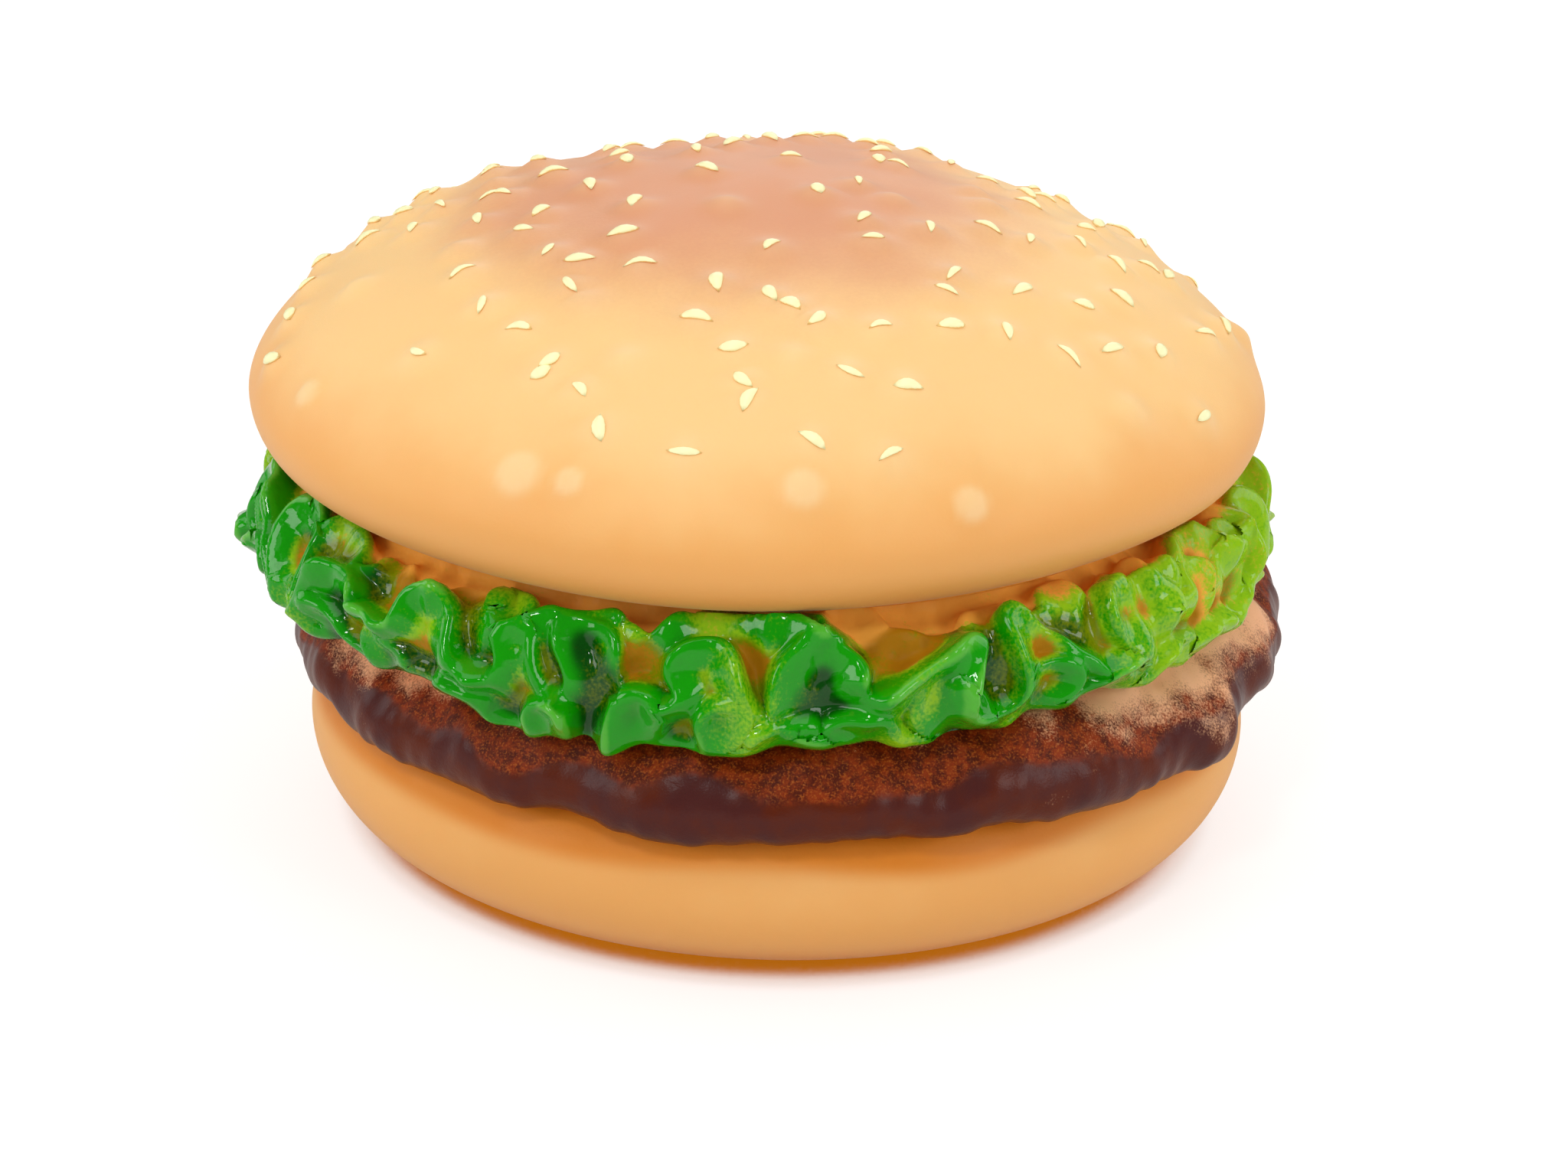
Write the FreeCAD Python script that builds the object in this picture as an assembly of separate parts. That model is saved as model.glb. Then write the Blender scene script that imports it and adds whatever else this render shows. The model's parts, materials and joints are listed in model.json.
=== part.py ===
"""Clamshell novelty telephone in the shape of a hamburger, shown closed, in millimetres.

The lower half is a stack of mouldings: bottom bun, patty and lettuce, clamped between the bun's floor
and the keypad deck by four long screws. The upper half is the top bun, closed from below by the
earpiece panel. The two halves turn on one steel pin behind the lettuce, and opening them hangs the
telephone off its hook switch. +Z is up, -Y is the side where the halves open, and +Y is the hinge.
The origin is the centre of the rubber foot's underside. Every sub-part is one STEP file in parts/.
"""

import FreeCAD
import Part

import math
import os

# ---- General moulding sizes ----
WALL = 2.4                  # wall of every moulded shell
SLIP = 0.3                  # gap beside a piece that moves, or that only has to drop in
RUNNING = 0.08              # radial gap of the hinge pin in the lid's ears
PRESSED = 0.05              # radial gap of a pin or screw that doesn't turn

# ---- Bottom bun ----
FOOT_PROUD = 0.6            # how far the rubber foot stands below the bun
BUN_RADIUS = 59.0           # widest radius of the bottom bun
BUN_BELLY_Z = 12.5          # height of its widest circle
BUN_EDGE = 12.5             # how far its side curves out from the flat underside
BUN_RISE = 10.5             # how far its side would curve up above the belly
BUN_TOP_Z = 21.0            # its flat top, where the patty lies
BUN_SHIFT = 3.5             # the mouldings sit a little out of line, as a made sandwich does
FLOOR_WALL = 3.0            # wall of the floor, which carries the screws

# ---- Patty and lettuce rings ----
PATTY_TOP_Z = BUN_TOP_Z + 12.0
PATTY_RADIUS = 60.9         # to the control points of its side, before its lumps
PATTY_SHIFT = 4.7
PATTY_POLES = 150           # control points round its side
# Waves of a ring's side: each has a size, a count round the ring, a lean up the side and a start.
PATTY_LUMPS = ((0.32, 7, 2.0, 0.8), (0.30, 11, -3.0, 2.1), (0.26, 16, 2.5, 4.0), (0.22, 20, -2.0, 1.0))
PATTY_FOLDS = ((0.10, 24, 3.0, 0.0), (0.10, 29, -2.0, 2.0), (0.08, 37, 4.0, 1.0))
PATTY_SAG = ((0.20, 4, 0.0, 1.0), (0.18, 7, 0.0, 3.0), (0.14, 11, 0.0, 0.5))
LETTUCE_TOP_Z = PATTY_TOP_Z + 11.5
LETTUCE_RADIUS = 62.0       # to the control points of its side, before its folds
LETTUCE_SHIFT = 0.6
LEAF_POLES = 250            # control points round the leaf, and up its side
LEAF_ROWS = 19
# Edges of the leaf's folds, which meander round the ring in loops with narrow necks: each has its
# middle height up the side, its swing, its loops, the overhang of a loop, how far it fades, a key.
LEAF_EDGES = (
    (13.6, 4.2, 31, 1.1, 0.5, 1.1), (6.8, 2.6, 38, 1.0, 0.5, 4.2), (19.8, 2.2, 27, 0.8, 0.9, 2.3),
)
LEAF_PINCH = 6.0            # how far a fold's edge stands out of the hollow beside it
LEAF_DISH = 2.6             # how far the hollows lie inside the plain side
LEAF_STEEP = 1.2            # how fast a fold falls away on its steep and its gentle side
LEAF_GENTLE = 2.2
LEAF_ROUND = 0.7            # rounding of a fold's edge
LEAF_SWELL = (
    (0.30, 9, 4.0, 0.0), (0.26, 14, -6.0, 2.0), (0.24, 23, 9.0, 4.0), (0.20, 31, -5.0, 0.5),
    (0.18, 43, 12.0, 3.0), (0.14, 57, -14.0, 1.0),
)
LEAF_DRAPE = ((0.30, 8, 0.0, 1.0), (0.30, 15, 0.0, 3.0), (0.25, 26, 0.0, 2.0), (0.20, 35, 0.0, 5.0))
LEAF_LIFT = 1.1             # how much higher the leaf's hem hangs at the sides than in front
LEAF_DIP = 0.5              # how much lower it hangs in front
LEAF_PERCH = 1.4            # how much higher it lies at the right, where the patty bears it
LEAF_GAP = 0.6              # left between the leaf and the lid's underside
RING_BORE = 50.0            # clear radius inside both rings

# ---- Keypad deck ----
DECK_TOP_Z = LETTUCE_TOP_Z - 0.5
DECK_RADIUS = RING_BORE + 3.0
DECK_WALL = 2.4

# ---- Keys: four rows of digits and a row of function keys ----
KEY_COLUMN_PITCH = 17.0
KEY_ROW_PITCH = 12.5
KEY_FIRST_ROW_Y = 24.0
KEY_WIDTH = 11.0
KEY_DEPTH = 8.4
FUNCTION_KEY_DEPTH = 6.0
KEY_CORNER = 2.4
KEY_PROUD = 2.4             # how far a key's face stands above the deck
KEY_FLANGE = 1.0            # the rim that keeps a key under the deck, out and up
KEY_TRAVEL = 1.2
DIGIT_ROWS = (("1", "2", "3"), ("4", "5", "6"), ("7", "8", "9"), ("star", "0", "hash"))
FUNCTION_KEYS = ("redial", "flash", "mute")

# ---- Board under the deck ----
BOARD_WALL = 1.6
BOARD_HALF_WIDTH = 23.5
BOARD_FRONT_Y = -37.8
BOARD_BACK_Y = 36.2
MAT_WALL = 1.0              # web of the rubber keypad mat
DOME_HEIGHT = KEY_TRAVEL + 0.5  # of the rubber dome under each key
BOARD_TOP_Z = DECK_TOP_Z - 6.6
# Each chip's x, y, width, depth and height, and each capacitor's x, y, radius and height.
CHIPS = ((-9.0, 12.0, 18.0, 7.5, 3.2), (9.0, -8.0, 7.5, 15.0, 3.0), (-12.0, -16.0, 8.0, 8.0, 2.4))
CANS = ((12.0, 10.0, 3.2, 8.0), (12.0, 19.0, 2.5, 7.0), (-4.0, -26.0, 4.0, 9.0))
RESISTOR_X = -16.0
RESISTOR_Y = -30.0
RESISTOR_WIDTH = 7.0
RESISTOR_DEPTH = 1.0

# ---- Screws ----
CASE_SCREW_R = 1.5
CASE_SCREW_LENGTH = 20.0
CASE_HEAD_R = 2.8
CASE_HEAD_HEIGHT = 2.0
CASE_SCREW_CIRCLE = 40.0    # radius of the circle that the four long screws stand on
CASE_SEAT_Z = 10.0          # height of the seats under their heads
POST_R = 5.0
BOSS_R = 3.5
BOSS_JOINT_Z = BUN_TOP_Z - 1.0  # where the bun's posts meet the deck's bosses
SMALL_SCREW_R = 1.0
SMALL_HEAD_R = 1.9
SMALL_HEAD_HEIGHT = 1.2
SMALL_BOSS_R = 2.3

# ---- Hinge ----
HINGE_Y = DECK_RADIUS + 13.0
HINGE_Z = DECK_TOP_Z + 2.5
HINGE_PIN_R = 1.5
BARREL_R = 3.2
BARREL_HALF_WIDTH = 15.8    # of the deck's single barrel, on the middle of the pin
EAR_WIDTH = 8.4             # of each of the lid's two ears, outside that barrel

# ---- Top bun ----
LID_RADIUS = 62.0
LID_LIP_Z = DECK_TOP_Z + 3.0    # the rim that hangs over the lettuce
LID_LIP_R = DECK_RADIUS     # inner radius of that rim
LID_BELLY_Z = LID_LIP_Z + 8.5
LID_TOP_Z = LID_BELLY_Z + 25.5
LID_CROWN = 1.70            # exponents of the dome's outline, of its radius and of its height: 2 and 2
LID_SHOULDER = 1.75         # is an ellipse, a smaller crown is flatter, a larger shoulder is fuller

# ---- Sesame seeds moulded on the dome ----
# Patches of seeds: bearing in degrees, distance as a share of the dome's radius, count, spacing.
SEED_GROUPS = (
    (60, 0.05, 9, 7.4), (165, 0.70, 10, 4.4), (-172, 0.50, 5, 5.2), (-139, 0.46, 6, 5.4),
    (-127, 0.66, 5, 4.8), (-138, 0.79, 1, 3.0), (-98, 0.43, 4, 6.2), (-84, 0.66, 8, 4.2),
    (-112, 0.77, 3, 3.6), (-97, 0.84, 3, 6.4), (-74, 0.85, 3, 5.4), (-34, 0.34, 6, 5.6),
    (5, 0.60, 8, 4.8), (-34, 0.76, 9, 4.4),
    (-57, 0.62, 2, 4.0), (-6, 0.86, 5, 5.0), (44, 0.48, 8, 5.8), (94, 0.52, 9, 6.2),
    (132, 0.42, 7, 5.8), (70, 0.82, 7, 5.6), (146, 0.86, 5, 5.2), (28, 0.80, 6, 5.2), (-170, 0.86, 4, 5.4),
)
SEED_LENGTH = 3.3           # of the shortest seeds, and how much longer the longest are
SEED_SPREAD = 1.5
SEED_WIDTH = 1.8
SEED_PROUD = 1.0
SEED_REACH = 0.955          # seeds stop at this share of the dome's radius
GOLDEN_ANGLE = math.pi * (3 - math.sqrt(5))

# ---- Earpiece panel and receiver ----
PANEL_Z = LID_LIP_Z + 0.6   # the panel's face, just above the rim of the lid
PANEL_WALL = 2.4
LID_SCREW_CIRCLE = 44.0
LID_SCREW_LENGTH = 11.0
RECEIVER_Y = -12.0
RECEIVER_R = 18.0
RECEIVER_HEIGHT = 4.4
GASKET_WALL = 0.8
MAGNET_R = 9.0
MAGNET_HEIGHT = 5.0
CLAMP_WALL = 1.5
CLAMP_POST_X = 23.0

# ---- Hook switch ----
HOOK_Y = RING_BORE - 8.0
HOOK_TRAVEL = 2.5
HOOK_STEM_R = 2.5
HOOK_FLANGE_R = 4.0
HOOK_TIP_R = 1.5
HOOK_BRACKET_TOP_Z = DECK_TOP_Z - 13.0
HOOK_BRACKET_WALL = 1.4
HOOK_POST_X = 8.5
HOOK_TOP_Z = DECK_TOP_Z + 1.4   # top of the plunger while the closed lid presses it
HOOK_PAD_R = 4.0
SPRING_WIRE_R = 0.3
SPRING_COIL_R = 2.4
HOOK_SWITCH_WIDTH = 12.8
HOOK_SWITCH_DEPTH = 6.0
HOOK_SWITCH_HEIGHT = 6.2

# ---- Pads that the closed lid rests on ----
BUMPER_X = 38.0
BUMPER_Y = -22.0
BUMPER_R = 3.0
BUMPER_TIP_R = 2.6
BUMPER_GAP = 0.1            # left between a closed lid's parts and what they press

# ---- Rear panel: line socket and ringer switch ----
REAR_PANEL_Y = 53.5
REAR_PANEL_HALF_WIDTH = 19.0
JACK_X = -4.0
JACK_Z = 11.2
JACK_WIDTH = 13.2
JACK_HEIGHT = 11.2
JACK_DEPTH = 15.5
SOCKET_WIDTH = 10.0
SOCKET_HEIGHT = 7.2
SOCKET_DEPTH = 12.0
SWITCH_X = 13.0
SWITCH_TRAVEL = 2.0         # to each side of the middle
SWITCH_KNOB_WIDTH = 4.0
SWITCH_KNOB_HEIGHT = 2.8
SWITCH_KNOB_PROUD = 1.6

# ---- Inside the bottom bun ----
FOOT_R = 36.0
FOOT_WALL = 1.8
BALLAST_R = 41.0
BALLAST_WALL = 6.0
BALLAST_BACK_Y = -2.0
BALLAST_SCREW_X = 14.0
BALLAST_SCREW_Y = -17.0
RINGER_X = 10.0
RINGER_Y = 22.0
RINGER_R = 10.0
RINGER_HEIGHT = 7.0
MIC_Y = -43.5
MIC_R = 3.0
MIC_HEIGHT = 4.0
MIC_BOOT_WALL = 1.2

# ---- Heights worked out from those above ----
FLOOR_TOP_Z = FOOT_PROUD + FLOOR_WALL
DECK_UNDER_Z = DECK_TOP_Z - DECK_WALL
BOARD_UNDER_Z = BOARD_TOP_Z - BOARD_WALL
PANEL_TOP_Z = PANEL_Z + PANEL_WALL
KEY_TOP_Z = DECK_TOP_Z + KEY_PROUD
KEY_UNDER_Z = BOARD_TOP_Z + MAT_WALL + DOME_HEIGHT + SLIP
GASKET_TOP_Z = PANEL_TOP_Z + GASKET_WALL
RECEIVER_TOP_Z = GASKET_TOP_Z + RECEIVER_HEIGHT
MAGNET_TOP_Z = RECEIVER_TOP_Z + MAGNET_HEIGHT
FAR = 200.0                 # longer than the whole telephone, for cutting tools


def vec(x, y, z):
    """A point or direction."""
    return FreeCAD.Vector(x, y, z)


def rod(radius, z_low, z_high, x=0.0, y=0.0):
    """An upright cylinder."""
    return Part.makeCylinder(radius, z_high - z_low, vec(x, y, z_low))


def block(x_low, x_high, y_low, y_high, z_low, z_high):
    """A box between two corners."""
    return Part.makeBox(x_high - x_low, y_high - y_low, z_high - z_low, vec(x_low, y_low, z_low))


def rounded_block(width, depth, corner, z_low, z_high, x=0.0, y=0.0):
    """A box centred on (x, y) whose four upright edges are rounded."""
    solid = block(x - width / 2, x + width / 2, y - depth / 2, y + depth / 2, z_low, z_high)
    upright = [e for e in solid.Edges if e.BoundBox.ZLength > (z_high - z_low) * 0.99]
    return solid.makeFillet(corner, upright)


def cross_rod(radius, x_low, x_high, y, z):
    """A cylinder that lies along X."""
    return Part.makeCylinder(radius, x_high - x_low, vec(x_low, y, z), vec(1, 0, 0))


def fused(solids):
    """The union of several solids, with the seams between flush faces removed."""
    return solids[0].multiFuse(solids[1:]).removeSplitter()


def four_round(circle):
    """Four points at 45 degrees on a circle round the origin, as (x, y)."""
    reach = circle / math.sqrt(2)
    return [(sx * reach, sy * reach) for sx in (-1, 1) for sy in (-1, 1)]


def rounded_edge(centre_r, centre_z, half_width, rise, exponents, start, end, points=9):
    """Part of a superellipse in the XZ plane, as a smooth edge between two angles in degrees."""
    places = []
    for step in range(points):
        angle = math.radians(start + (end - start) * step / (points - 1))
        across, along = math.cos(angle), math.sin(angle)
        places.append(vec(
            centre_r + half_width * math.copysign(abs(across) ** (2 / exponents[0]), across),
            0,
            centre_z + rise * math.copysign(abs(along) ** (2 / exponents[1]), along),
        ))
    curve = Part.BSplineCurve()
    curve.interpolate(places)
    return curve.toShape()


def line(start, end):
    """A straight edge in the XZ plane between two (radius, height) points."""
    return Part.makeLine(vec(start[0], 0, start[1]), vec(end[0], 0, end[1]))


def turned(edges, x=0.0):
    """The solid that a closed outline in the XZ plane makes when it turns round Z."""
    solid = Part.Face(Part.Wire(edges)).revolve(vec(0, 0, 0), vec(0, 0, 1), 360)
    solid.translate(vec(x, 0, 0))
    return solid


def joined_ends(low_edge, high_edge):
    """The two edges and the straight lines that close them through the Z axis."""
    low = low_edge.Vertexes[0].Point
    high = high_edge.Vertexes[-1].Point
    edges = [line((0, low.z), (low.x, low.z)), low_edge, high_edge]
    if high.x > 1e-6:
        edges.append(line((high.x, high.z), (0, high.z)))
    return edges + [line((0, high.z), (0, low.z))]


def swell(waves, angle, level=0.0):
    """A sum of sine waves round a ring, at an angle and at a level from 0 to 1 up its side."""
    return sum(size * math.sin(count * angle + lean * level + start) for size, count, lean, start in waves)


def ease(low, high, value):
    """Goes from 0 at low to 1 at high in an S shape, and backwards where high is below low."""
    share = min(max((value - low) / (high - low), 0.0), 1.0)
    return share * share * (3 - 2 * share)


def bell(distance, width):
    """A bell curve that is 1 at no distance and falls away over about one width."""
    return math.exp(-(distance / width) ** 2)


def even_points(poles, count):
    """Evenly spaced (radius, height) points of the smooth curve that its control points pull along."""
    curve = Part.BSplineCurve()
    knots = list(range(len(poles) - 2))
    curve.buildFromPolesMultsKnots(
        [vec(radius, 0, height) for radius, height in poles],
        [4] + [1] * (len(knots) - 2) + [4], knots, False, 3,
    )
    return [(p.x, p.z) for p in curve.toShape().discretize(Number=count)]


def section_ways(section):
    """The unit direction up a section at each of its points; its normal is that turned outwards."""
    ways = []
    for number in range(len(section)):
        before, after = section[max(number - 1, 0)], section[min(number + 1, len(section) - 1)]
        length = math.dist(before, after)
        ways.append(((after[0] - before[0]) / length, (after[1] - before[1]) / length))
    return ways


def skinned_puck(rings):
    """A closed puck whose side is one smooth periodic skin between two flat faces.

    rings holds one list of control points round each level; the first and last ring are level circles.
    """
    skin = Part.BSplineSurface()
    levels = list(range(len(rings) - 2))
    count = len(rings[0])
    skin.buildFromPolesMultsKnots(
        rings, [4] + [1] * (len(levels) - 2) + [4], [1] * (count + 1),
        levels, list(range(count + 1)), False, True, 3, 3,
    )
    side = skin.toShape()
    caps = [Part.Face(Part.Wire([e])) for e in side.Edges if e.BoundBox.ZLength < 1e-6]
    shell = Part.Shell([side] + caps)
    shell.sewShape()
    solid = Part.Solid(shell)
    if solid.Volume < 0:
        solid.reverse()
    return solid


def screw(shank_r, length, head_r, head_height, x, y, seat_z, up=True):
    """A pan-head screw whose head rests on seat_z; up is the way its shank points."""
    sign = 1 if up else -1
    shank_end, head_end = seat_z + sign * length, seat_z - sign * head_height
    shank = rod(shank_r, min(seat_z, shank_end), max(seat_z, shank_end), x, y)
    head = rod(head_r, min(seat_z, head_end), max(seat_z, head_end), x, y)
    crown = [e for e in head.Edges if abs(e.BoundBox.ZMin - head_end) < 1e-6
             and e.BoundBox.ZLength < 1e-6]
    head = head.makeFillet(head_height * 0.45, crown)
    slot_half = head_r * 0.16
    slot_floor = head_end + sign * head_height * 0.45
    slots = [
        block(x - reach_x, x + reach_x, y - reach_y, y + reach_y,
              min(head_end, slot_floor), max(head_end, slot_floor))
        for reach_x, reach_y in ((head_r * 0.6, slot_half), (slot_half, head_r * 0.6))
    ]
    return head.cut(fused(slots)).fuse(shank).removeSplitter()


def flat_screw(shank_r, length, head_r, head_height, x, y, seat_z):
    """A countersunk screw whose flat head faces down at seat_z and whose shank points up."""
    head = Part.makeCone(head_r, shank_r, head_height, vec(x, y, seat_z))
    slots = [
        block(x - reach_x, x + reach_x, y - reach_y, y + reach_y, seat_z, seat_z + 0.7)
        for reach_x, reach_y in ((head_r * 0.55, 0.35), (0.35, head_r * 0.55))
    ]
    return head.cut(fused(slots)).fuse(rod(shank_r, seat_z + head_height, seat_z + length, x, y))


# ---- Lower half ----

def bun_outer():
    """The solid outline of the bottom bun before it is hollowed and trimmed."""
    flat_r = BUN_RADIUS - BUN_EDGE
    lower = rounded_edge(flat_r, BUN_BELLY_Z, BUN_EDGE, BUN_BELLY_Z - FOOT_PROUD, (2, 2), -90, 0)
    upper = rounded_edge(flat_r, BUN_BELLY_Z, BUN_EDGE, BUN_RISE, (2, 2), 0, 90)
    return turned(joined_ends(lower, upper), BUN_SHIFT)


def bun_hollow():
    """The space inside the bottom bun, one wall in from its outline, with its open mouth."""
    flat_r = BUN_RADIUS - BUN_EDGE
    half_width = BUN_EDGE - WALL
    lower = rounded_edge(flat_r, BUN_BELLY_Z, half_width, BUN_BELLY_Z - FLOOR_TOP_Z, (2, 2), -90, 0)
    upper = rounded_edge(flat_r, BUN_BELLY_Z, half_width, BUN_TOP_Z - WALL - BUN_BELLY_Z, (2, 2), 0, 90)
    space = turned(joined_ends(lower, upper), BUN_SHIFT)
    return space.fuse(rod(RING_BORE - WALL, BUN_BELLY_Z, BUN_TOP_Z + BUN_RISE))


def ringer_slots():
    """Five slots in the floor that let the ringer be heard."""
    slots = []
    for number in range(-2, 3):
        y = RINGER_Y + number * 3.0
        half = math.sqrt((RINGER_R - 3.0) ** 2 - (number * 3.0) ** 2)
        slots.append(block(RINGER_X - half, RINGER_X + half, y - 0.7, y + 0.7, 0, FLOOR_TOP_Z))
    return fused(slots)


def make_bottom_bun():
    """Hollow lower bun: screw posts, ringer ring, ballast bosses, and a flat rear panel."""
    window_low = BUN_SHIFT - REAR_PANEL_HALF_WIDTH
    window_high = BUN_SHIFT + REAR_PANEL_HALF_WIDTH
    outer = bun_outer()
    additions = [rod(POST_R, FOOT_PROUD, BOSS_JOINT_Z, x, y) for x, y in four_round(CASE_SCREW_CIRCLE)]
    additions += [
        rod(3.0, FOOT_PROUD, FLOOR_TOP_Z + BALLAST_WALL, sign * BALLAST_SCREW_X, BALLAST_SCREW_Y)
        for sign in (-1, 1)
    ]
    ring = rod(RINGER_R + SLIP + 1.6, FOOT_PROUD, FLOOR_TOP_Z + 3, RINGER_X, RINGER_Y)
    additions.append(ring.cut(rod(RINGER_R + SLIP, FLOOR_TOP_Z, BUN_TOP_Z, RINGER_X, RINGER_Y)))
    rear_wall = block(window_low - WALL, window_high + WALL, REAR_PANEL_Y - WALL, FAR,
                      FOOT_PROUD, BUN_TOP_Z - WALL / 2)
    additions.append(rear_wall.common(outer))
    jack_low, jack_high = JACK_X - JACK_WIDTH / 2, JACK_X + JACK_WIDTH / 2
    additions.append(block(jack_low, jack_high, REAR_PANEL_Y - JACK_DEPTH + 3, REAR_PANEL_Y - WALL,
                           FOOT_PROUD, JACK_Z - JACK_HEIGHT / 2))
    shell = fused([outer.cut(bun_hollow())] + additions)
    cuts = [block(-FAR, FAR, -FAR, FAR, BUN_TOP_Z, FAR)]
    cuts.append(block(window_low, window_high, REAR_PANEL_Y, FAR, 4.5, 18.5))
    cuts.append(block(jack_low - SLIP / 2, jack_high + SLIP / 2, REAR_PANEL_Y - WALL - 1, FAR,
                      JACK_Z - JACK_HEIGHT / 2, JACK_Z + JACK_HEIGHT / 2 + SLIP / 2))
    slot_half = SWITCH_KNOB_WIDTH / 2 + SWITCH_TRAVEL + SLIP
    cuts.append(block(SWITCH_X - slot_half, SWITCH_X + slot_half, REAR_PANEL_Y - WALL - 1, FAR,
                      JACK_Z - SWITCH_KNOB_HEIGHT / 2 - SLIP, JACK_Z + SWITCH_KNOB_HEIGHT / 2 + SLIP))
    cuts.append(rod(FOOT_R + SLIP / 2, 0, FOOT_WALL))
    cuts.append(ringer_slots())
    for x, y in four_round(CASE_SCREW_CIRCLE):
        cuts.append(rod(CASE_HEAD_R + SLIP, 0, CASE_SEAT_Z, x, y))
        cuts.append(rod(CASE_SCREW_R + SLIP, CASE_SEAT_Z, BUN_TOP_Z, x, y))
    for sign in (-1, 1):
        cuts.append(rod(CASE_SCREW_R + PRESSED, FOOT_WALL + 1.0, FAR,
                        sign * BALLAST_SCREW_X, BALLAST_SCREW_Y))
    return shell.cut(cuts)


def make_rubber_foot():
    """Round rubber pad let into the floor, with a hole under the ringer's slots."""
    pad = rod(FOOT_R, 0, FOOT_WALL)
    rim = [e for e in pad.Edges if e.BoundBox.ZMax < 1e-6 and e.BoundBox.XLength > FOOT_R]
    pad = pad.makeChamfer(FOOT_PROUD * 0.6, rim)
    return pad.cut(rod(RINGER_R - 1.5, 0, FOOT_WALL, RINGER_X, RINGER_Y))


def make_ballast():
    """Half-round steel weight in the front of the floor, cut clear of the posts."""
    plate = rod(BALLAST_R, FLOOR_TOP_Z, FLOOR_TOP_Z + BALLAST_WALL)
    plate = plate.cut(block(-FAR, FAR, BALLAST_BACK_Y, FAR, 0, FAR))
    clear = [rod(POST_R + SLIP, 0, FAR, x, y) for x, y in four_round(CASE_SCREW_CIRCLE) if y < 0]
    clear += [rod(3.0 + SLIP, 0, FAR, sign * BALLAST_SCREW_X, BALLAST_SCREW_Y) for sign in (-1, 1)]
    return plate.cut(clear)


def make_ballast_screws():
    """Two washer-head screws that hold the ballast down."""
    seat = FLOOR_TOP_Z + BALLAST_WALL
    return Part.makeCompound([
        screw(CASE_SCREW_R, BALLAST_WALL, 4.6, CASE_HEAD_HEIGHT,
              sign * BALLAST_SCREW_X, BALLAST_SCREW_Y, seat, up=False)
        for sign in (-1, 1)
    ])


def patty_relief(angle, level):
    """How far the pressed patty's side bulges: most at its front right, and a little at its left."""
    bearing = (angle + math.pi) % (2 * math.pi) - math.pi
    strong = 1 + 1.1 * bell(bearing + 0.35, 0.75) + 0.5 * bell(abs(bearing) - math.pi, 0.7)
    bulge = swell(PATTY_LUMPS, angle, level) * strong + swell(PATTY_FOLDS, angle, level) * strong ** 2
    return bulge * ease(0, 0.2, level) * ease(1, 0.8, level)


def make_patty():
    """Patty ring: lumpy outside, bored for the posts and hollowed from inside."""
    low, high, wide = BUN_TOP_Z, PATTY_TOP_Z, PATTY_RADIUS
    section = even_points((
        (wide - 5.0, low), (wide - 3.6, low), (wide - 2.0, low - 0.9), (wide - 0.4, low - 0.2),
        (wide + 0.9, low + 2.2), (wide + 0.6, low + 5.0), (wide - 1.4, low + 8.0),
        (wide - 4.2, low + 10.6), (wide - 6.8, high), (wide - 8.6, high),
    ), 15)
    rings = []
    for number, ((radius, height), (way_r, way_z)) in enumerate(zip(section, section_ways(section))):
        level = number / (len(section) - 1)
        hold = ease(0, 0.2, level) * ease(1, 0.8, level)
        ring = []
        for step in range(PATTY_POLES):
            angle = 2 * math.pi * step / PATTY_POLES
            out = patty_relief(angle, level)
            reach = radius + way_z * out
            level_z = min(height - way_r * out + swell(PATTY_SAG, angle) * hold, high)
            ring.append(vec(PATTY_SHIFT + reach * math.cos(angle), reach * math.sin(angle), level_z))
        rings.append(ring)
    groove = rod(PATTY_RADIUS - 7.0, low + WALL, high - WALL - 1.0, PATTY_SHIFT)
    return skinned_puck(rings).cut([rod(RING_BORE - WALL, 0, FAR), groove])


def leaf_edge(centre, swing, loops, overhang, fade, key):
    """Points of one fold's edge as (along, up, strength), along and up in millimetres on the side."""
    count = loops * 44
    points = []
    for step in range(count):
        a = 2 * math.pi * step / count
        phase = (loops * a + 0.9 * math.sin(3 * a + key) + 0.8 * math.sin(5 * a + 2 * key)
                 + 0.6 * math.sin(8 * a + 3 * key))
        reach = swing * (1 + 0.40 * math.sin(7 * a + 2 * key) + 0.30 * math.sin(11 * a + 5 * key))
        middle = centre + math.sin(4 * a + 3 * key) + 0.8 * math.sin(9 * a + key)
        lean = overhang * (1 + 0.5 * math.sin(6 * a + key)) * math.sin(2 * phase)
        sway = (0.7 * math.sin(13 * a + 4 * key) + 0.5 * math.sin(19 * a + 2 * key)
                + 0.5 * math.sin(37 * a + 3 * key) + 0.35 * math.sin(61 * a + key))
        slant = 0.5 * math.sin(6 * a + 3 * key) + 0.4 * math.sin(10 * a + key)
        kink = 0.45 * math.sin(43 * a + 2 * key) + 0.35 * math.sin(71 * a + 4 * key)
        strength = 1 - fade * (0.5 - 0.3 * math.sin(5 * a + 7 * key) - 0.2 * math.sin(12 * a + 3 * key))
        rise = reach * math.cos(phase)
        points.append((LETTUCE_RADIUS * a + lean + slant * rise + sway, middle + rise + kink, strength))
    return points


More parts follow.
